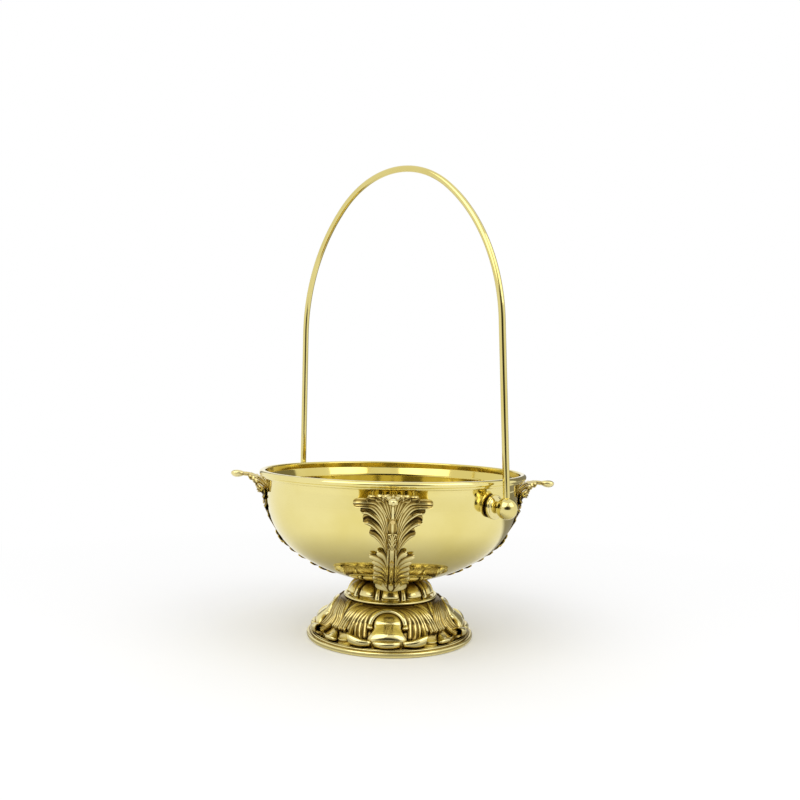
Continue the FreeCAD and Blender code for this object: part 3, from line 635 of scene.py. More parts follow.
def turned_brass():
    """Lathe-cut brass of nuts, pins and washers."""
    material, tree, bsdf = new_material("turned_brass", metallic=1.0)
    tone = noise(tree, scale=120.0, detail=4.0)
    tint(tree, bsdf, tone, [(0.3, (0.62, 0.46, 0.16)), (0.7, (0.78, 0.62, 0.25))])
    gloss(tree, bsdf, tone, low=0.18, high=0.34)
    cuts = noise(tree, scale=2500.0, detail=2.0, stretch=(0.05, 0.05, 1.0))
    bump(tree, bsdf, cuts, strength=0.1, distance=0.0002)
    return material


def screw_steel():
    """Plain steel of the screws."""
    material, tree, bsdf = new_material("screw_steel", metallic=1.0)
    tone = noise(tree, scale=300.0, detail=4.0)
    tint(tree, bsdf, tone, [(0.3, (0.42, 0.41, 0.39)), (0.7, (0.60, 0.59, 0.57))])
    gloss(tree, bsdf, tone, low=0.22, high=0.4)
    return material


def seal_rubber():
    """Black rubber of the sealing washers."""
    material, tree, bsdf = new_material("seal_rubber")
    tone = noise(tree, scale=500.0, detail=4.0)
    tint(tree, bsdf, tone, [(0.3, (0.012, 0.012, 0.012)), (0.7, (0.03, 0.03, 0.028))])
    bump(tree, bsdf, tone, strength=0.15, distance=0.0002)
    bsdf.inputs["Roughness"].default_value = 0.7
    return material


BOWL_BRASS = polished_brass("bowl_brass", pale=(0.83, 0.73, 0.31), deep=(0.77, 0.66, 0.23),
                            inner=(0.69, 0.57, 0.17))
POLISHED = polished_brass("polished_brass", pale=(0.73, 0.63, 0.25), deep=(0.67, 0.56, 0.18),
                          inner=(0.62, 0.5, 0.14))
ANTIQUE = antique_brass("antique_brass", low=0.14, high=0.5, mottling=0.12, grain=0.06)
# Bosses: buffed brass whose dark comes only from the painted shade in their seam
BOSS_BRASS = antique_brass("boss_brass", low=0.07, high=0.5, mottling=0.02, grain=0.0)
FINISHES = {"polished_brass": POLISHED, "antique_brass": ANTIQUE, "turned_brass": turned_brass(),
            "screw_steel": screw_steel(), "seal_rubber": seal_rubber()}


# Bowl

# Shares of the neck's, the band's and the cone's height that have an edge, closer at crisp corners
NECK_ROWS = (0.4, 0.75)
BAND_ROWS = (0.08, 0.16, 0.5, 0.84, 0.92, 1.0)
CONE_ROWS = (0.06, 0.12, 0.5, 0.88, 0.94, 1.0)
INNER_FACING = 0.3


def bowl_wall(offset):
    """One face of the bowl's wall from its pole to the neck, at an offset inwards."""
    turn_up = BEND - QUARTER_TURN
    low = arc(BASE_MIDDLE, BASE_CURVE - offset, -QUARTER_TURN, turn_up, steps=34)
    high = arc(SIDE_MIDDLE, SIDE_CURVE - offset, turn_up, 0.0, steps=44)
    neck = [(BOWL_RADIUS - offset, SPRING + NECK_RISE * share) for share in NECK_ROWS]
    return low + high[1:] + neck


def flare_point(offset, angle):
    """A spot on the flared collar at an angle up it and an offset inwards."""
    reach = LIP_CURVE + offset
    return (COLLAR_MIDDLE[0] - reach * math.cos(angle), COLLAR_MIDDLE[1] + reach * math.sin(angle))


def bowl_lip():
    """The bowl's profile over its lip, from the ridge outside to the neck inside."""
    ridge = arc(flare_point(0.0, RIDGE_FLARE), RIDGE_BEAD, *RIDGE_SWEEP, steps=8)
    middle = flare_point(BOWL_WALL / 2, LIP_FLARE)
    lip = arc(middle, LIP_BEAD, *LIP_SWEEP, steps=14)
    band_radius = middle[0] - LIP_BEAD
    edge_middle = (band_radius + LIP_EDGE, lip[-1][1] - LIP_EDGE)
    edge = arc(edge_middle, LIP_EDGE, QUARTER_TURN, math.pi, steps=10)
    band = [(band_radius, edge[-1][1] - BAND_DEPTH * share) for share in BAND_ROWS]
    cone_low = (BOWL_RADIUS - BOWL_WALL, NECK_TOP + CONE_FOOT)
    cone = [bend([band[-1], cone_low], share) for share in CONE_ROWS]
    return ridge + lip + edge + band + cone


def make_bowl():
    """The spun bowl, its inside marked for a deeper tone: painted shade and painted gold reflection inside the
    bowl.
    """
    collar = arc(COLLAR_MIDDLE, LIP_CURVE, math.pi, math.pi - RIDGE_FLARE, steps=10)
    outside = bowl_wall(0.0) + collar[:-1]
    inside = bowl_wall(BOWL_WALL)[::-1]
    bm = lathe(outside + bowl_lip() + inside, steps=200)
    layer = patina_and_shade_layer(bm)
    bm.normal_update()
    # Painted shade: faces that look inwards, and faces that look upwards below the spring, get the deeper inside
    # tone
    for vert in bm.verts:
        inwards = vert.normal.xy.dot(vert.co.xy.normalized()) < -INNER_FACING
        upwards = vert.normal.z > INNER_FACING and vert.co.z < SPRING
        vert[layer] = float(inwards or upwards)
    piece("bowl_spun", bm, BOWL_BRASS, "pot", ["bowl"], sharp=50.0)


# Foot

TOE = (TOE_RADIUS, FLANGE_HEIGHT)
RING_MIDDLE = (RING_RADIUS - RING_HEIGHT / 2, RING_TOP - RING_HEIGHT / 2)
CROWN_TOP = (RING_RADIUS - RING_HEIGHT / 2, RING_TOP - RING_HEIGHT)
SKIRT = (arc_between(TOE, SHOULDER, SKIRT_CURVE, -1, steps=40)
         + arc_between(SHOULDER, CROWN_TOP, CROWN_CURVE, 1, steps=40)[1:])
FRONT = -QUARTER_TURN
CARTOUCHES = 4
FOOT_TURN = math.radians(-2)
# Painted shade on the skirt under the ring
CROWN_DARK = 0.5

# Boss of a cartouche: where it starts and ends along the skirt, its half width at the dome, how
# much it widens to its lip, and its rise at some shares of its length
CABOCHON_ENDS = (27.6, 1.6)
CABOCHON_HALF = 9.8
CABOCHON_FLARE = 4.2
CABOCHON_SHARES = (0.0, 0.15, 0.3, 0.45, 0.6, 0.72, 0.84, 0.93, 1.0)
CABOCHON_RISES = (0.0, 1.6, 3.4, 5.0, 6.0, 6.2, 5.4, 3.6, 0.0)
SMOOTHING = (-0.08, -0.04, 0.0, 0.04, 0.08)

# Arch over the boss, with a bulb near each end
ARCH_RADIUS = 12.1
ARCH_MIDDLE = 17.2
ARCH_FROM = math.radians(-18)
ARCH_SWEEP = math.radians(216)
ARCH_HALF = 1.8
ARCH_RISE = 1.6
ARCH_END_RISE = 2.5
BULB = 0.8
BULB_SHARE = 0.055
BULB_SPREAD = 0.05

# Fan ribs on one side of a cartouche: (across, along) from under the ring down, half width,
# rise and tip lift. The first three stand on the rolled scroll, the fourth turns into it.
FAN_RIBS = [
    ([(3.0, 31.1), (8.7, 29.2), (13.1, 25.5), (15.1, 21.2), (15.5, 15.9), (16.0, 6.0)], 2.0, 2.6, 0.4),
    ([(5.7, 31.5), (11.6, 28.6), (16.1, 24.1), (18.5, 20.0), (19.4, 14.5), (19.1, 5.2)], 2.1, 2.6, 0.5),
    ([(8.0, 31.7), (15.4, 27.6), (20.0, 22.8), (22.3, 17.4), (22.7, 11.4), (22.1, 4.8)], 2.0, 2.6, 0.6),
    ([(7.7, 32.2), (14.8, 29.9), (20.2, 26.0), (24.0, 19.8), (25.9, 13.1), (26.3, 7.1), (25.2, 2.6)],
     2.1, 3.2, 1.6),
    ([(11.5, 32.6), (18.9, 29.0), (23.8, 23.6), (26.8, 17.0), (29.0, 11.0)], 1.9, 2.5, 1.2),
    ([(14.0, 32.8), (21.9, 28.6), (26.8, 23.4), (30.3, 17.2), (33.2, 9.8)], 1.8, 2.5, 1.6),
    ([(17.0, 32.7), (24.6, 28.0), (29.4, 22.8), (32.7, 16.9), (35.6, 10.0)], 1.7, 2.5, 1.7),
    ([(19.6, 32.6), (26.8, 28.2), (31.0, 23.6), (34.0, 18.0), (37.6, 9.4)], 1.7, 2.5, 1.6),
]

# Rolled edges under a cartouche's boss and along one side of it
LIP_ROLL = [(-9.6, 2.8), (0, 0.4), (9.6, 2.8)]
LIP_ROLL_OUT = 2.3
FLANK_ROLL = [(10.6, 3.4), (18.0, 0.6), (27.2, 3.6)]

# Between two cartouches, about the middle of that corner: upright ribs on one side of its slit,
# the pad on the toe, and the rim on one side of that pad
CORNER_RIBS = [[(5.0, 34.8), (2.7, 29.0), (2.0, 24.0), (1.7, 19.5), (0.7, 15.5)],
               [(8.4, 34.6), (5.2, 29.5), (3.8, 24.5), (3.4, 19.0), (2.6, 13.5)]]
CORNER_RIB_RISE = 1.9
CORNER_PAD = [(0, 9.6), (0, 4.5), (0, -0.8)]
CORNER_PAD_HALF = 5.6
CORNER_PAD_LIFT = 2.4
CORNER_RIM = [(4.4, 4.6), (7.0, 2.0), (11.6, 3.2), (13.8, 4.4)]


def cabochon_width(share):
    """Half width of the bell-shaped boss, from its domed top down to its lip."""
    flare = CABOCHON_HALF + CABOCHON_FLARE * ease(share, 0.42, 0.42)
    return flare * rounded(share, 0.36, 0.10)


def cabochon_rise(share):
    """Rise of the boss, smoothed between the listed shares."""
    nearby = [min(max(share + step, 0.0), 1.0) for step in SMOOTHING]
    return float(np.mean(np.interp(nearby, CABOCHON_SHARES, CABOCHON_RISES)))


def arch_line(share):
    """Most of a circle, open below."""
    angle = ARCH_FROM + ARCH_SWEEP * share
    return (ARCH_RADIUS * math.cos(angle), ARCH_MIDDLE + ARCH_RADIUS * math.sin(angle))


def arch_bulb(share):
    """What the bulbs add to the arch."""
    from_end = min(share, 1 - share)
    return BULB * math.exp(-((from_end - BULB_SHARE) / BULB_SPREAD) ** 2)


def arch_width(share):
    """Half width of the arch."""
    return (ARCH_HALF + arch_bulb(share)) * rounded(share, 0.05, 0.05)


def arch_rise(share):
    """Rise of the arch: almost flush at its top, bold at its ends."""
    to_end = 1 - math.sin(math.pi * share)
    return (ARCH_RISE + ARCH_END_RISE * to_end + arch_bulb(share)) * rounded(share, 0.05, 0.05)


def rib_width(share):
    """Share of a fan rib's full half width, narrow under the ring."""
    return (0.55 + 0.45 * ease(share, run=0.5)) * rounded(share, 0.1, 0.08)


def rib_rise(share):
    """Share of a rib's full rise, low under the ring."""
    return (0.42 + 0.58 * ease(share, 0.2, 0.6)) * rounded(share, 0.08, 0.09)


def pad_width(share):
    """Half width of a corner's pad, from its stalk to its round end."""
    return CORNER_PAD_HALF * (0.25 + 0.75 * ease(share * 1.3)) * rounded(share, 0.2, 0.16)


def cartouche(bm, place):
    """Boss, arch, fans and rolled edges in the middle of one quarter of the foot."""
    # Painted shade with the patina: the boss darkens at its top under the arch, and the ribs towards their roots
    # under the ring
    strap(bm, place, upright(*CABOCHON_ENDS), cabochon_width, cabochon_rise, face=0.6,
          root_dark=0.25, bare_tip=0.8, along=48, around=44)
    strap(bm, place, arch_line, arch_width, arch_rise, along=72, around=18)
    for points, half, rise, tip in FAN_RIBS:
        for line in both_sides(partial(through, points)):
            strap(bm, place, line, lambda share: half * rib_width(share),
                  lambda share: rise * rib_rise(share), lift=lambda share: tip * share ** 3,
                  flutes=2, flute_depth=0.2, root_dark=0.42, bare_tip=0.6, along=30, around=18)
    roll(bm, place, partial(bend, LIP_ROLL), lambda run: 0.9 + 1.7 * rounded(run, 0.4, 0.4),
         bore=0.5, out=lambda run: LIP_ROLL_OUT)
    for line in both_sides(partial(bend, FLANK_ROLL)):
        roll(bm, place, line, lambda run: (2.2 + 1.9 * ease(run)) * rounded(run, 0.2, 0.0),
             bore=0.62, out=lambda run: 2.5 + 1.5 * ease(run))


def corner_scroll(bm, corner):
    """Ribs, pad and rims between two cartouches."""
    # Painted shade: the corner ribs darken towards their roots under the ring
    for points in CORNER_RIBS:
        for line in both_sides(partial(through, points)):
            strap(bm, corner, line, plump(1.5, 0.2, 0.25),
                  lambda share: CORNER_RIB_RISE * rib_rise(share), root_dark=0.3, along=32, around=18)
    strap(bm, corner, partial(bend, CORNER_PAD), pad_width, plump(2.6, 0.3, 0.2),
          lift=lambda share: CORNER_PAD_LIFT * share ** 2, dark=0.3, along=36, around=40)
    for line in both_sides(partial(bend, CORNER_RIM)):
        strap(bm, corner, line, plump(0.8, 0.2, 0.2), plump(1.7, 0.2, 0.2), dark=0.5,
              along=24, around=14)


def foot_profile():
    """The foot's section, from its lower edge over flange, skirt and ring to its hollow inside."""
    edge = (arc((FOOT_RADIUS - FOOT_EDGE, FOOT_EDGE), FOOT_EDGE, -QUARTER_TURN, 0, steps=6)
            + arc((FOOT_RADIUS - RIM_EDGE, RIM_TOP - RIM_EDGE), RIM_EDGE, 0, QUARTER_TURN, steps=6))
    tread = FOOT_RADIUS - RIM_WIDTH
    tread_middle = (tread - TREAD_EDGE, FLANGE_HEIGHT - TREAD_EDGE)
    step = ([(tread + SCORE_HALF, RIM_TOP), (tread, RIM_TOP - SCORE_DEPTH)]
            + arc(tread_middle, TREAD_EDGE, 0, QUARTER_TURN, steps=5))
    score = [(TOE_RADIUS + 3 * SCORE_HALF, FLANGE_HEIGHT),
             (TOE_RADIUS + 2 * SCORE_HALF, FLANGE_HEIGHT - SCORE_DEPTH),
             (TOE_RADIUS + SCORE_HALF, FLANGE_HEIGHT)]
    ring = arc(RING_MIDDLE, RING_HEIGHT / 2, -QUARTER_TURN, math.pi, steps=16)
    ring_inside = RING_RADIUS - RING_WIDTH
    toe_inside = TOE_RADIUS - FOOT_WALL
    inside = [(ring_inside, WEB_TOP), (BOLT_HOLE, WEB_TOP), (BOLT_HOLE, WEB_UNDER),
              (ring_inside, WEB_UNDER), (SHOULDER[0] - FOOT_WALL, SHOULDER[1] - FOOT_WALL),
              (toe_inside, FLANGE_HEIGHT), (toe_inside, foot_low.z)]
    return edge + step + score + SKIRT + ring + inside


def make_foot():
    """The cast foot: one quarter with its ornament, repeated."""
    quarter = lathe(foot_profile(), steps=40, angle=FULL_TURN / CARTOUCHES)
    turn_round(quarter, FRONT - math.pi / CARTOUCHES, quarter.verts)
    layer = patina_and_shade_layer(quarter)
    # Painted shade: the skirt darkens from the shoulder up to the crown, under the ring
    for vert in quarter.verts:
        if vert.co.z < CROWN_TOP[1]:
            vert[layer] = CROWN_DARK * ease(vert.co.z, SHOULDER[1], CROWN_TOP[1] - SHOULDER[1])
    cartouche(quarter, surface(SKIRT, FRONT))
    corner_scroll(quarter, surface(SKIRT, FRONT + math.pi / CARTOUCHES))
    finish_sector(quarter, CARTOUCHES, depth=6.0, weight=0.66)
    turn_round(quarter, FOOT_TURN, quarter.verts)
    piece("foot_cast", quarter, ANTIQUE, "pot", ["foot"])


# Knop

def knop_width(share, angle):
    """Half of an angle's width round the knop, from its top down."""
    low = KNOP_LOW[0] + KNOP_SPREAD
    return math.radians(angle) * (KNOP_TOP[0] + (low - KNOP_TOP[0]) * share)


def lobe_width(share, angle):
    """The same, drawn in towards the top."""
    return knop_width(share, angle) * (0.74 + 0.26 * ease(share / 0.6))


def make_knop():
    """The cast knop: one lobe with its petal, and the dart beside it, repeated."""
    line = arc_between(KNOP_LOW, KNOP_TOP, KNOP_CURVE, 1, steps=24)
    bore = [(BOLT_HOLE, KNOP_TOP[1]), (BOLT_HOLE, WEB_TOP)]
    sector = lathe(line + bore, steps=16, angle=FULL_TURN / LOBES)
    turn_round(sector, FRONT - math.pi / LOBES, sector.verts)
    place = surface(line, FRONT)
    between = surface(line, FRONT + math.pi / LOBES)
    down = upright(place.length + LOBE_TOP, LOBE_END)
    petal = upright(place.length + PETAL_TOP, PETAL_END)
    strap(sector, place, down, lambda share: lobe_width(share, LOBE_HALF) * rounded(share, 0.1, 0.12),
          lambda share: (0.9 + 0.7 * ease(share * 1.5)) * rounded(share, 0.05, 0.1),
          along=36, around=36)
    # Painted shade: the petal and the dart darken towards their tops, under the bowl
    strap(sector, place, petal, lambda share: lobe_width(share, PETAL_HALF) * rounded(share, 0.3, 0.16),
          lambda share: (1.4 + 1.9 * ease(share * 1.4)) * rounded(share, 0.1, 0.2),
          face=0.6, root_dark=0.4, along=44, around=44)
    strap(sector, between, down, lambda share: knop_width(share, DART_HALF) * rounded(share, 0.02, 0.08),
          lambda share: (1.0 + 2.2 * ease(share * 1.5)) * rounded(share, 0.02, 0.1),
          root_dark=0.45, along=30, around=20)
    # The bowl above counts as hiding the knop's sky, which paints shade on the knop near it
    finish_sector(sector, LOBES, depth=16.0, weight=0.6)
    piece("knop_cast", sector, ANTIQUE, "pot", ["knop"])


# Leaves

# Bearing of each leaf in degrees, how far its tip was bent down in fitting, what share of its
# lower relief is pressed flat, and how far its heel was bent down and out
LEAVES = {"leaf_right": (0, 2.3, 0.28, 0.0, 0.0), "leaf_back": (90, 1.5, 0.2, 1.2, 1.0),
          "leaf_left": (180, -0.8, 0.28, 0.0, 0.0), "leaf_front": (270, 5.2, 0.0, 3.4, 10.0)}
DROOP_FROM, DROOP_RUN = BOWL_RADIUS + 2.5, 22.0
HEEL_FROM, HEEL_RUN = 52.0, 18.0
PRESS_FROM, PRESS_RUN = SPRING - 10.0, 15.0

# Fronds on one side of a leaf, from the stem to the tip: line of (across, along), half width,
# rise at the tip, how far the tip lifts, tilt, cup and depth of the tip's underside
UPPER_FRONDS = [
    ([(2.6, 51), (3.9, 56), (5.4, 60.5), (8.2, 65.6), (11.5, 68.9), (15.0, 69.4)],
     3.0, 1.2, 0.2, 0.4, 0.9, 0.6),
    ([(2.8, 56), (4.0, 61), (5.1, 66.4), (7.7, 71.2), (11.5, 75.6), (15.5, 77.8), (19.2, 76.6)],
     3.8, 1.5, 0.3, 0.6, 1.3, 0.8),
    ([(2.8, 60), (4.3, 67.8), (5.9, 74.2), (9.0, 79.3), (13.5, 83.4), (17.0, 84.8), (21.0, 83.6)],
     3.9, 1.6, 0.6, 0.7, 1.4, 0.8),
    ([(2.6, 63), (3.8, 69), (4.8, 74.5), (6.9, 80.5), (11.0, 86.3), (15.5, 89.5), (21.0, 90.7),
      (25.6, 89.6)], 3.7, 3.1, 1.9, 0.6, 0.4, 1.8),
    ([(1.8, 72), (2.9, 77.8), (5.5, 83.3), (9.4, 90.5), (12.4, 94.4), (16.6, 96.4)],
     3.4, 2.5, 1.2, 0.6, 1.1, 1.8),
    ([(0.6, 74), (0.9, 78), (2.4, 83), (4.4, 91.0), (6.8, 96.4), (10.6, 99.6)],
     3.2, 2.6, 1.0, 0.5, 1.0, 1.8),
    ([(0.4, 86), (1.3, 92), (2.8, 98.5), (5.8, 103.4)], 2.8, 2.8, 0.8, 0.4, 0.9, 1.8),
]
LOWER_FRONDS = [
    ([(3.0, 38), (4.0, 46), (6.0, 51.5), (9.4, 54.8)], 2.4, 1.0, 0.8, 0.7, 0.0, 0.5),
    ([(3.2, 33), (4.8, 41), (8.6, 47.6), (14.6, 51.6)], 2.4, 1.0, 0.8, 0.8, 0.0, 0.5),
    ([(3.2, 28), (4.9, 36), (8.0, 42.0), (12.8, 46.0)], 2.1, 0.8, 0.2, 1.0, 0.0, 0.5),
    ([(3.2, 21), (4.8, 29), (7.6, 35.0), (11.8, 39.0)], 2.1, 0.8, 0.2, 1.1, 0.0, 0.5),
    ([(3.0, 12), (4.7, 20), (7.6, 26.6), (11.8, 30.8)], 2.3, 0.8, 0.2, 1.2, 0.0, 0.5),
    ([(2.6, 2), (4.6, 10), (7.8, 16.6), (12.4, 20.6)], 2.5, 0.9, 0.3, 1.4, 0.0, 0.5),
    ([(1.8, -3), (3.8, 1.5), (7.0, 8.0), (11.6, 13.6)], 2.6, 0.9, 0.4, 1.5, 0.0, 0.5),
    ([(0.6, -5), (2.4, -3), (5.8, 1.6), (10.0, 7.0)], 2.4, 0.9, 0.5, 1.4, 0.0, 0.5),
]
ROOT_RISE = 1.2
ROOT_LIFT = 0.2

# Fine lines on one side of a leaf: beside the stem, the rosette's curls and the collar over it
STEM_LINE = [(3.1, 2), (2.8, 30), (2.6, 57)]
ROSETTE_ALONG = (58.0, 61.4, 64.8)
COLLAR_LINE = [(-0.8, 68.6), (1.6, 68.6), (3.2, 67.6)]
FINE_LINES = [(STEM_LINE, 1.0, 1.5)]
FINE_LINES += [([(0.3, run - 3.0), (0.3, run + 2.6), (2.6, run + 4.0)], 0.6, 2.0) for run in ROSETTE_ALONG]
FINE_LINES += [(COLLAR_LINE, 0.6, 2.0)]

# On the middle of a leaf: start and end along it, half width and rise
STEMS = [(-4, 59, 1.7, 2.1), (76, 110, 1.2, 2.0)]
HUSKS = [(56.5, 70, 2.9, 1.7), (68, 80, 3.2, 2.8)]
TIP_BULB = (107.0, 117.5, 3.2, 3.1)

# Half width of the backing blade along the leaf, and its thin rise
BLADE_ALONG = (-4, 5, 15, 30, 45, 50, 55, 62, 70, 78, 85, 91, 97, 103, 110, 114)
BLADE_HALF = (1.5, 6.0, 7.5, 7.0, 7.0, 6.0, 4.4, 5.0, 7.0, 9.5, 12.0, 12.0, 8.0, 5.0, 3.0, 2.0)
BLADE_RISE = 0.4


def leaf_meridian():
    """The middle of a leaf's blade from its foot on the bowl's base to its tip."""
    base_reach = BASE_CURVE + LEAF_OFF
    side_reach = SIDE_CURVE + LEAF_OFF
    rise = math.asin(FLARE_DROP / side_reach)
    foot = math.asin(LEAF_FOOT_RADIUS / base_reach)
    flare = (SIDE_MIDDLE[0] + (side_reach + FLARE_CURVE) * math.cos(rise),
             SIDE_MIDDLE[1] - (side_reach + FLARE_CURVE) * math.sin(rise))
    turn_up = BEND - QUARTER_TURN
    return (arc(BASE_MIDDLE, base_reach, foot - QUARTER_TURN, turn_up, steps=40)
            + arc(SIDE_MIDDLE, side_reach, turn_up, -rise, steps=70)[1:]
            + arc(flare, FLARE_CURVE, math.pi - rise, QUARTER_TURN, steps=40)[1:]
            + [(flare[0] + TIP_RUN, flare[1] + FLARE_CURVE)])


def frond(bm, place, points, half, rise, tip_lift, tilt, cup, sink, flutes, low_dark, taper):
    """One frond: narrow and low at the stem, wide and raised towards its curled tip."""
    root = min(rise, ROOT_RISE)

    def width(share):
        return half * (0.3 + 0.7 * ease(share / 0.8)) * rounded(share, 0.04, taper)

    def crown(share):
        return (root + (rise - root) * ease(share, 0.5, 0.35)) * rounded(share, 0.04, 0.12)

    strap(bm, place, partial(through, points), width, crown,
          lift=lambda share: ROOT_LIFT + tip_lift * ease(share) ** 1.5, tilt=tilt, flutes=flutes,
          flute_depth=0.4, cup=cup, sink=sink, low_dark=low_dark, bare_tip=0.8, along=44, around=40)


def leaf_side(bm, place):
    """Fronds, side lines and rosette curls on the +Y side of a leaf."""
    for sizes in UPPER_FRONDS:
        frond(bm, place, *sizes, flutes=3, low_dark=0.0, taper=0.13)
    for sizes in LOWER_FRONDS:
        # Painted shadow along the side of each lower frond that lies under its neighbour's lifted edge
        frond(bm, place, *sizes, flutes=0, low_dark=0.6, taper=0.2)
    for points, half, rise in FINE_LINES:
        strap(bm, place, partial(bend, points), plump(half, 0.2, 0.2), plump(rise, 0.2, 0.2),
              along=36, around=16)


def leaf_middle(bm, place):
    """Backing blade, stem and upper rib, husks and the bulb at the tip."""
    first, last = BLADE_ALONG[0], BLADE_ALONG[-1]
    # Painted shade: the lower part of the backing blade, seen in the gaps between the fronds, is darkened
    strap(bm, place, upright(first, last),
          lambda share: np.interp(first + (last - first) * share, BLADE_ALONG, BLADE_HALF),
          lambda share: BLADE_RISE, sink=0.5, root_dark=0.6, along=110, around=36)
    for start, stop, half, rise in STEMS:
        strap(bm, place, upright(start, stop), plump(half, 0.1, 0.1), plump(rise, 0.1, 0.1),
              along=60, around=24)
    for start, stop, half, rise in HUSKS:
        strap(bm, place, upright(start, stop), plump(half, 0.4, 0.7), plump(rise, 0.3, 0.6),
              flutes=2, flute_depth=0.15, along=40, around=28)
    start, stop, half, rise = TIP_BULB
    strap(bm, place, upright(start, stop), plump(half, 0.55, 0.4), plump(rise, 0.6, 0.4), sink=2.2,
          flutes=2, flute_depth=0.2, dark=0.2, along=40, around=36)


def leaf_bosses(bm):
    """Round bosses on a leaf's back, through which it is screwed to the bowl."""
    for drop in SCREW_DROPS:
        turn = Matrix.Rotation(math.radians(90 + drop), 4, "Y")
        lift = Matrix.Translation((0, 0, SIDE_CURVE + SCREW_BOSS_OFF))
        start = Matrix.Translation((SIDE_CENTRE, 0, SPRING))
        bmesh.ops.create_cone(bm, cap_ends=True, segments=28, radius1=SCREW_BOSS, radius2=SCREW_BOSS,
                              depth=SCREW_BOSS_DEPTH, matrix=start @ turn @ lift)


def press(vert, share):
    """Bring a spot of a leaf nearer to the bowl's wall by a share of its distance."""
    reach = vert.co.xy.length
    over_base = math.atan2(reach, BASE_MIDDLE[1] - vert.co.z) < BEND
    centre = Vector(BASE_MIDDLE if over_base else SIDE_MIDDLE)
    way = Vector((reach, vert.co.z)) - centre
    gap = way.length - (BASE_CURVE if over_base else SIDE_CURVE)
    new = centre + way * (1 - share * max(gap, 0.0) / way.length)
    vert.co.xy *= new.x / reach
    vert.co.z = new.y


def make_leaves():
    """Four castings of one leaf, each bent a little in fitting."""
    place = surface(leaf_meridian())
    cast = bmesh.new()
    leaf_side(cast, place)
    leaf_middle(cast, place)
    leaf_bosses(cast)
    face_out(cast)
    keep_side(cast)
    whole = mirror_side(cast.copy())
    # Patina and painted shade where the leaf's own relief hides its sky
    age_and_shade(cast, tree_of(whole), depth=6.0, weight=0.62)
    whole.free()
    mirror_side(cast)
    for name, (bearing, droop, flat, heel, push) in LEAVES.items():
        bm = cast.copy()
        for vert in bm.verts:
            press(vert, flat * ease((PRESS_FROM - vert.co.z) / PRESS_RUN))
            reach = vert.co.xy.length
            bent = ease((HEEL_FROM - reach) / HEEL_RUN)
            vert.co.z -= droop * ease(reach, DROOP_FROM, DROOP_RUN) + heel * bent
            vert.co.xy *= 1 + push * bent / reach
        turn_round(bm, math.radians(bearing), bm.verts)
        piece(f"{name}_cast", bm, ANTIQUE, "pot", [name])
    cast.free()


# Pivots and bail

SIDES = {"right": 0.0, "left": math.pi}
PIVOT_PLACE = Matrix.Rotation(PIVOT_BEARING, 4, "Z") @ Matrix.Translation((0, 0, PIVOT_HEIGHT))
BAIL_PLACE = PIVOT_PLACE @ Matrix.Rotation(BAIL_LEAN, 4, "X")
# Painted shade in the seam where each boss meets the bowl
SEAM_DARK = 0.95
SEAM_FROM, SEAM_RUN = BOSS_BACK + 0.6, 0.8
LEG_ROWS = 30
SIDE_ROWS = 30
TOP_ROWS = 72


def make_pivots():
    """The domed bosses on the bowl's wall, with painted shade in the seam behind them."""
    edge_radius = BOSS_RADIUS - BOSS_EDGE
    root_radius = BOSS_RADIUS - UNDERCUT
    root = [(BOSS_BORE, BOSS_BACK), (root_radius, BOSS_BACK),
            (root_radius, BOSS_BACK + UNDERCUT_HEIGHT), (BOSS_RADIUS, BOSS_BACK + UNDERCUT_TOP)]
    rim = arc((edge_radius, BOSS_BACK + BOSS_SIDE), BOSS_EDGE, 0, QUARTER_TURN, steps=10)
    dome_low = (edge_radius, BOSS_BACK + BOSS_SIDE + BOSS_EDGE)
    dome = arc_between(dome_low, (DOME_TOP, BOSS_FRONT), DOME_CURVE, 1, steps=14)
    for side, turn in SIDES.items():
        bm = lathe(root + rim + dome[1:] + [(BOSS_BORE, BOSS_FRONT)], steps=96)
        layer = patina_and_shade_layer(bm)
        # Painted shade: the boss darkens towards its back on the bowl, over its root and undercut
        for vert in bm.verts:
            vert[layer] = SEAM_DARK * (1 - ease(vert.co.z, SEAM_FROM, SEAM_RUN))
        out = PIVOT_PLACE @ Matrix.Rotation(turn, 4, "Z") @ Matrix.Rotation(QUARTER_TURN, 4, "Y")
        bmesh.ops.transform(bm, matrix=out, verts=bm.verts)
        piece(f"boss_{side}_turned", bm, BOSS_BRASS, "pot", [f"pivot_boss_{side}"])


def make_balls():
    """The ball ends, cut flat where they face the bosses."""
    for side, turn in SIDES.items():
        bm = bmesh.new()
        bmesh.ops.create_uvsphere(bm, u_segments=72, v_segments=48, radius=BALL_RADIUS)
        cut = bmesh.ops.bisect_plane(bm, geom=everything(bm), plane_co=(-BALL_FACE, 0, 0),
                                     plane_no=(-1, 0, 0), clear_outer=True)["geom_cut"]
        bmesh.ops.contextual_create(bm, geom=only(BMEdge, cut))
        place = BAIL_PLACE @ Matrix.Rotation(turn, 4, "Z") @ Matrix.Translation((BALL_REACH, 0, 0))
        bmesh.ops.transform(bm, matrix=place, verts=bm.verts)
        face_out(bm)
        piece(f"ball_{side}_turned", bm, POLISHED, "bail", [f"bail_ball_{side}"])


def draw_on(bm, ring, step, count):
    """Draw a rod's end ring on straight, and return the new end ring."""
    for _ in range(count):
        new = bmesh.ops.extrude_edge_only(bm, edges=ring)["geom"]
        moved = set(only(BMVert, new))
        bmesh.ops.translate(bm, vec=step, verts=list(moved))
        ring = [edge for edge in only(BMEdge, new) if all(vert in moved for vert in edge.verts)]
    return ring


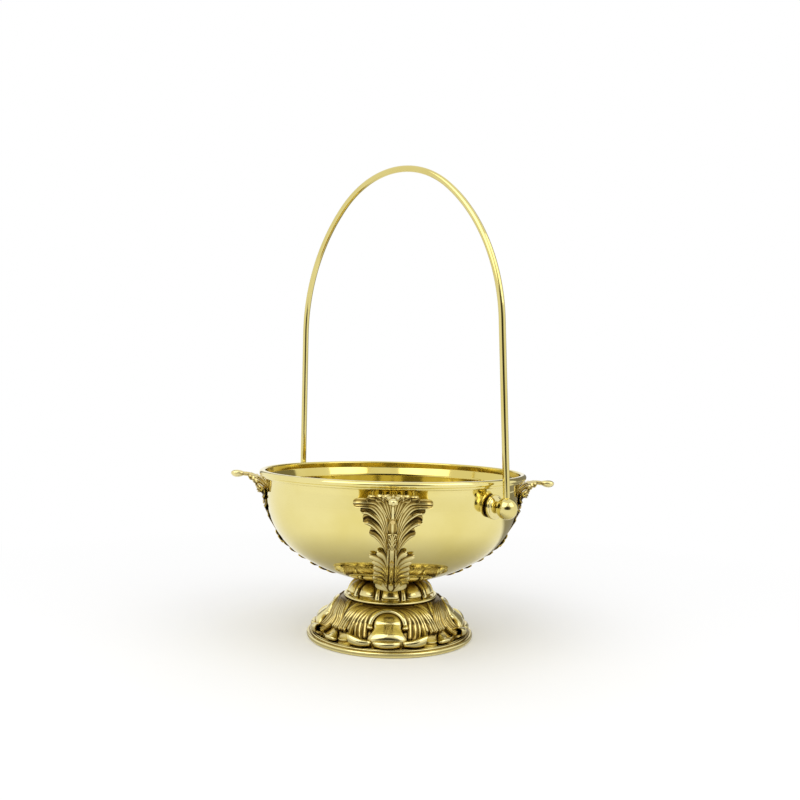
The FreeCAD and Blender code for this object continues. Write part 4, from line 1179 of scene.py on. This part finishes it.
def make_rod():
    """A round bar bent up: a straight leg, a side arc, the top arc, and down again."""
    tilt = math.atan2(BALL_REACH - LEG_REACH, LEG_RISE)
    drop = LEG_RISE - BAIL_RISE + BAIL_TOP_CURVE
    side_curve = ((BAIL_TOP_CURVE ** 2 - LEG_REACH ** 2 - drop ** 2)
                  / (2 * (BAIL_TOP_CURVE - LEG_REACH * math.cos(tilt) - drop * math.sin(tilt))))
    side_centre = Vector((LEG_REACH - side_curve * math.cos(tilt), 0,
                          LEG_RISE - side_curve * math.sin(tilt)))
    far_centre = Vector((-side_centre.x, 0, side_centre.z))
    top_centre = Vector((0, 0, BAIL_RISE - BAIL_TOP_CURVE))
    join = (top_centre - side_centre).normalized()
    side_sweep = math.atan2(join.z, join.x) - tilt
    top_sweep = math.pi - 2 * math.atan2(join.z, join.x)
    bends = [(side_centre, side_sweep, SIDE_ROWS), (top_centre, top_sweep, TOP_ROWS),
             (far_centre, side_sweep, SIDE_ROWS)]
    up = Vector((-math.sin(tilt), 0, math.cos(tilt)))
    down = Vector((-math.sin(tilt), 0, -math.cos(tilt)))
    start = Vector((BALL_REACH, 0, 0)) + up * LEG_START
    leg_step = (Vector((LEG_REACH, 0, LEG_RISE)) - start).length / LEG_ROWS

    bm = bmesh.new()
    seat = Matrix.Translation(start) @ Matrix.Rotation(-tilt, 4, "Y")
    bmesh.ops.create_circle(bm, segments=40, radius=ROD_RADIUS, matrix=seat)
    ring = draw_on(bm, bm.edges[:], up * leg_step, LEG_ROWS)
    for centre, sweep, rows in bends:
        last = bmesh.ops.spin(bm, geom=ring, cent=centre, axis=(0, -1, 0), dvec=(0, 0, 0), angle=sweep,
                              steps=rows)["geom_last"]
        ring = only(BMEdge, last)
    draw_on(bm, ring, down * leg_step, LEG_ROWS)
    weld(bm)
    bmesh.ops.holes_fill(bm, edges=bm.edges, sides=0)
    bmesh.ops.transform(bm, matrix=BAIL_PLACE, verts=bm.verts)
    face_out(bm)
    piece("bail_rod_bent", bm, POLISHED, "bail", ["bail_rod"])


make_bowl()
make_foot()
make_knop()
make_leaves()
make_pivots()
make_balls()
make_rod()

# Small fittings keep the frame's own shapes and get the finish of their slot
slot_of = {entry["node"]: entry["material_slot"] for entry in frame["record"]["subparts"]}
for node, part in frame["nodes"].items():
    part.data.materials.clear()
    part.data.materials.append(FINISHES[slot_of[node]])


# Stage: floor, light and camera, in metres

WHITE = (1, 1, 1, 1)
FLOOR_COLOUR = (0.94, 0.94, 0.94, 1.0)
FLOOR_SIZE = (8.0, 8.0)
SHADOW_NEAR = 0.12
SHADOW_FAR = 0.55
FILL_LEVEL = 0.85
POT_MIDDLE = (0, 0, 0.1)

# Lamps: place, size and power
SOFTBOXES = {"key": ((-0.7, -0.9, 1.2), 1.3, 7.0), "fill": ((0.9, -0.7, 1.0), 0.92, 3.5)}

# Grey cards: size, middle, the way they face, how light they are and how much of them is soft edge
CARDS = {
    "card_room": ((3.6, 1.5), (0.1, -1.7, 0.55), (0, 1, 0), 0.5, 0.6),
    "card_lens": ((1.5, 1.0), (0.0, -1.0, 0.24), (0, 1, 0), 0.03, 0.6),
    "card_right": ((0.7, 1.6), (0.52, 0.62, 0.35), (-0.6, -0.8, 0), 0.25, 0.15),
    "card_right_floor": ((0.6, 0.6), (0.28, 0.38, 0.002), (0, 0, 1), 0.3, 0.2),
    # Painted shadow: a dark soft patch round the foot, seen only in reflections, for the pot's shade on the floor
    "card_floor_shadow": ((0.37, 0.37), (0, 0, 0.0015), (0, 0, 1), 0.42, 0.85),
    "card_left": ((0.22, 1.6), (-0.56, 0.95, 0.5), (0.45, -0.9, 0), 0.25, 0.3),
}
CARD_WARMTH = (1.0, 0.94, 0.8)

CAMERA_SPOT = (-0.0033, -0.6169, 0.1712)
CAMERA_LOOK = (0.0119, 0.9999, 0.009)
CAMERA_ROLL = 0.0225
CAMERA_LENS = 36.62
CAMERA_SENSOR = 36.0


def stage_plane(name, size, spot, aim, material):
    """A flat sheet of the stage that faces the way of its aim."""
    bm = bmesh.new()
    bm.loops.layers.uv.new("UVMap")
    bmesh.ops.create_grid(bm, x_segments=1, y_segments=1, size=0.5, calc_uvs=True)
    bmesh.ops.scale(bm, vec=(*size, 1), verts=bm.verts)
    turn = Vector(aim).to_track_quat("Z", "Y").to_matrix()
    bmesh.ops.rotate(bm, cent=(0, 0, 0), matrix=turn, verts=bm.verts)
    bmesh.ops.translate(bm, vec=spot, verts=bm.verts)
    mesh = bpy.data.meshes.new(name)
    bm.to_mesh(mesh)
    bm.free()
    mesh.materials.append(material)
    plane = bpy.data.objects.new(name, mesh)
    bpy.context.scene.collection.objects.link(plane)
    return plane


def show_mix(tree, share, first, second, output):
    """Show a mix of two shaders, the second one by the share."""
    mix = tree.nodes.new("ShaderNodeMixShader")
    tree.links.new(share, mix.inputs["Fac"])
    tree.links.new(first, mix.inputs[1])
    tree.links.new(second, mix.inputs[2])
    tree.links.new(mix.outputs["Shader"], tree.nodes[output].inputs["Surface"])


def floor_white():
    """White floor that holds the shadow near the pot and runs out into the white behind it."""
    material, tree, bsdf = new_material("floor_white")
    bsdf.inputs["Base Color"].default_value = FLOOR_COLOUR
    bsdf.inputs["Roughness"].default_value = 0.9
    bsdf.inputs["Specular IOR Level"].default_value = 0.0
    place = tree.nodes.new("ShaderNodeTexCoord")
    reach = tree.nodes.new("ShaderNodeVectorMath")
    reach.operation = "LENGTH"
    tree.links.new(place.outputs["Object"], reach.inputs[0])
    far = tree.nodes.new("ShaderNodeMapRange")
    far.inputs["From Min"].default_value = SHADOW_NEAR
    far.inputs["From Max"].default_value = SHADOW_FAR
    tree.links.new(reach.outputs["Value"], far.inputs["Value"])
    white = tree.nodes.new("ShaderNodeEmission")
    white.inputs["Strength"].default_value = 1.0
    show_mix(tree, far.outputs["Result"], bsdf.outputs["BSDF"], white.outputs["Emission"],
             "Material Output")
    return material


def card(name, size, spot, aim, level, soft):
    """A grey patch with soft edges near the pot, that shows only in its reflections."""
    material, tree, _ = new_material(name)
    place = tree.nodes.new("ShaderNodeTexCoord")
    centred = tree.nodes.new("ShaderNodeMapping")
    centred.inputs["Location"].default_value = (-1, -1, 0)
    centred.inputs["Scale"].default_value = (2, 2, 1)
    tree.links.new(place.outputs["UV"], centred.inputs["Vector"])
    round_patch = tree.nodes.new("ShaderNodeTexGradient")
    round_patch.gradient_type = "SPHERICAL"
    tree.links.new(centred.outputs["Vector"], round_patch.inputs["Vector"])
    mask = tree.nodes.new("ShaderNodeMapRange")
    mask.interpolation_type = "SMOOTHSTEP"
    mask.inputs["From Max"].default_value = soft
    tree.links.new(round_patch.outputs["Fac"], mask.inputs["Value"])
    grey = tree.nodes.new("ShaderNodeEmission")
    grey.inputs["Color"].default_value = (*(level * part for part in CARD_WARMTH), 1.0)
    clear = tree.nodes.new("ShaderNodeBsdfTransparent")
    show_mix(tree, mask.outputs["Result"], clear.outputs["BSDF"], grey.outputs["Emission"],
             "Material Output")
    plane = stage_plane(name, size, spot, aim, material)
    plane.visible_camera = False
    plane.visible_diffuse = False
    plane.visible_shadow = False


def make_world():
    """White where the camera or a reflection looks, and a plain fill for everything else."""
    world = bpy.data.worlds.new("studio")
    world.use_nodes = True
    bpy.context.scene.world = world
    tree = world.node_tree
    seen = tree.nodes["Background"]
    seen.inputs["Color"].default_value = WHITE
    seen.inputs["Strength"].default_value = 1.0
    fill = tree.nodes.new("ShaderNodeBackground")
    fill.inputs["Color"].default_value = WHITE
    fill.inputs["Strength"].default_value = FILL_LEVEL
    path = tree.nodes.new("ShaderNodeLightPath")
    either = path.outputs["Is Camera Ray"]
    for name in ("Is Glossy Ray", "Is Transmission Ray"):
        either = reckon(tree, "MAXIMUM", either, path.outputs[name])
    show_mix(tree, either, fill.outputs["Background"], seen.outputs["Background"], "World Output")


def softbox(name, spot, size, power):
    """A square lamp that faces the pot."""
    light = bpy.data.lights.new(name, "AREA")
    light.shape = "SQUARE"
    light.size = size
    light.energy = power
    lamp = bpy.data.objects.new(name, light)
    lamp.location = spot
    lamp.rotation_mode = "QUATERNION"
    lamp.rotation_quaternion = (Vector(POT_MIDDLE) - Vector(spot)).to_track_quat("-Z", "Y")
    bpy.context.scene.collection.objects.link(lamp)


def make_camera():
    """The camera that was fitted to the photograph."""
    camera = bpy.data.cameras.new("camera")
    camera.lens = CAMERA_LENS
    camera.sensor_width = CAMERA_SENSOR
    holder = bpy.data.objects.new("camera", camera)
    holder.location = CAMERA_SPOT
    look = Vector(CAMERA_LOOK).to_track_quat("-Z", "Y")
    holder.rotation_mode = "QUATERNION"
    holder.rotation_quaternion = look @ Quaternion((0, 0, 1), CAMERA_ROLL)
    bpy.context.scene.collection.objects.link(holder)
    bpy.context.scene.camera = holder


stage_plane("floor", FLOOR_SIZE, (0, 0, 0), (0, 0, 1), floor_white())
make_world()
for name, settings in SOFTBOXES.items():
    softbox(name, *settings)
for name, settings in CARDS.items():
    card(name, *settings)
make_camera()

bpy.context.scene.view_settings.view_transform = "Standard"
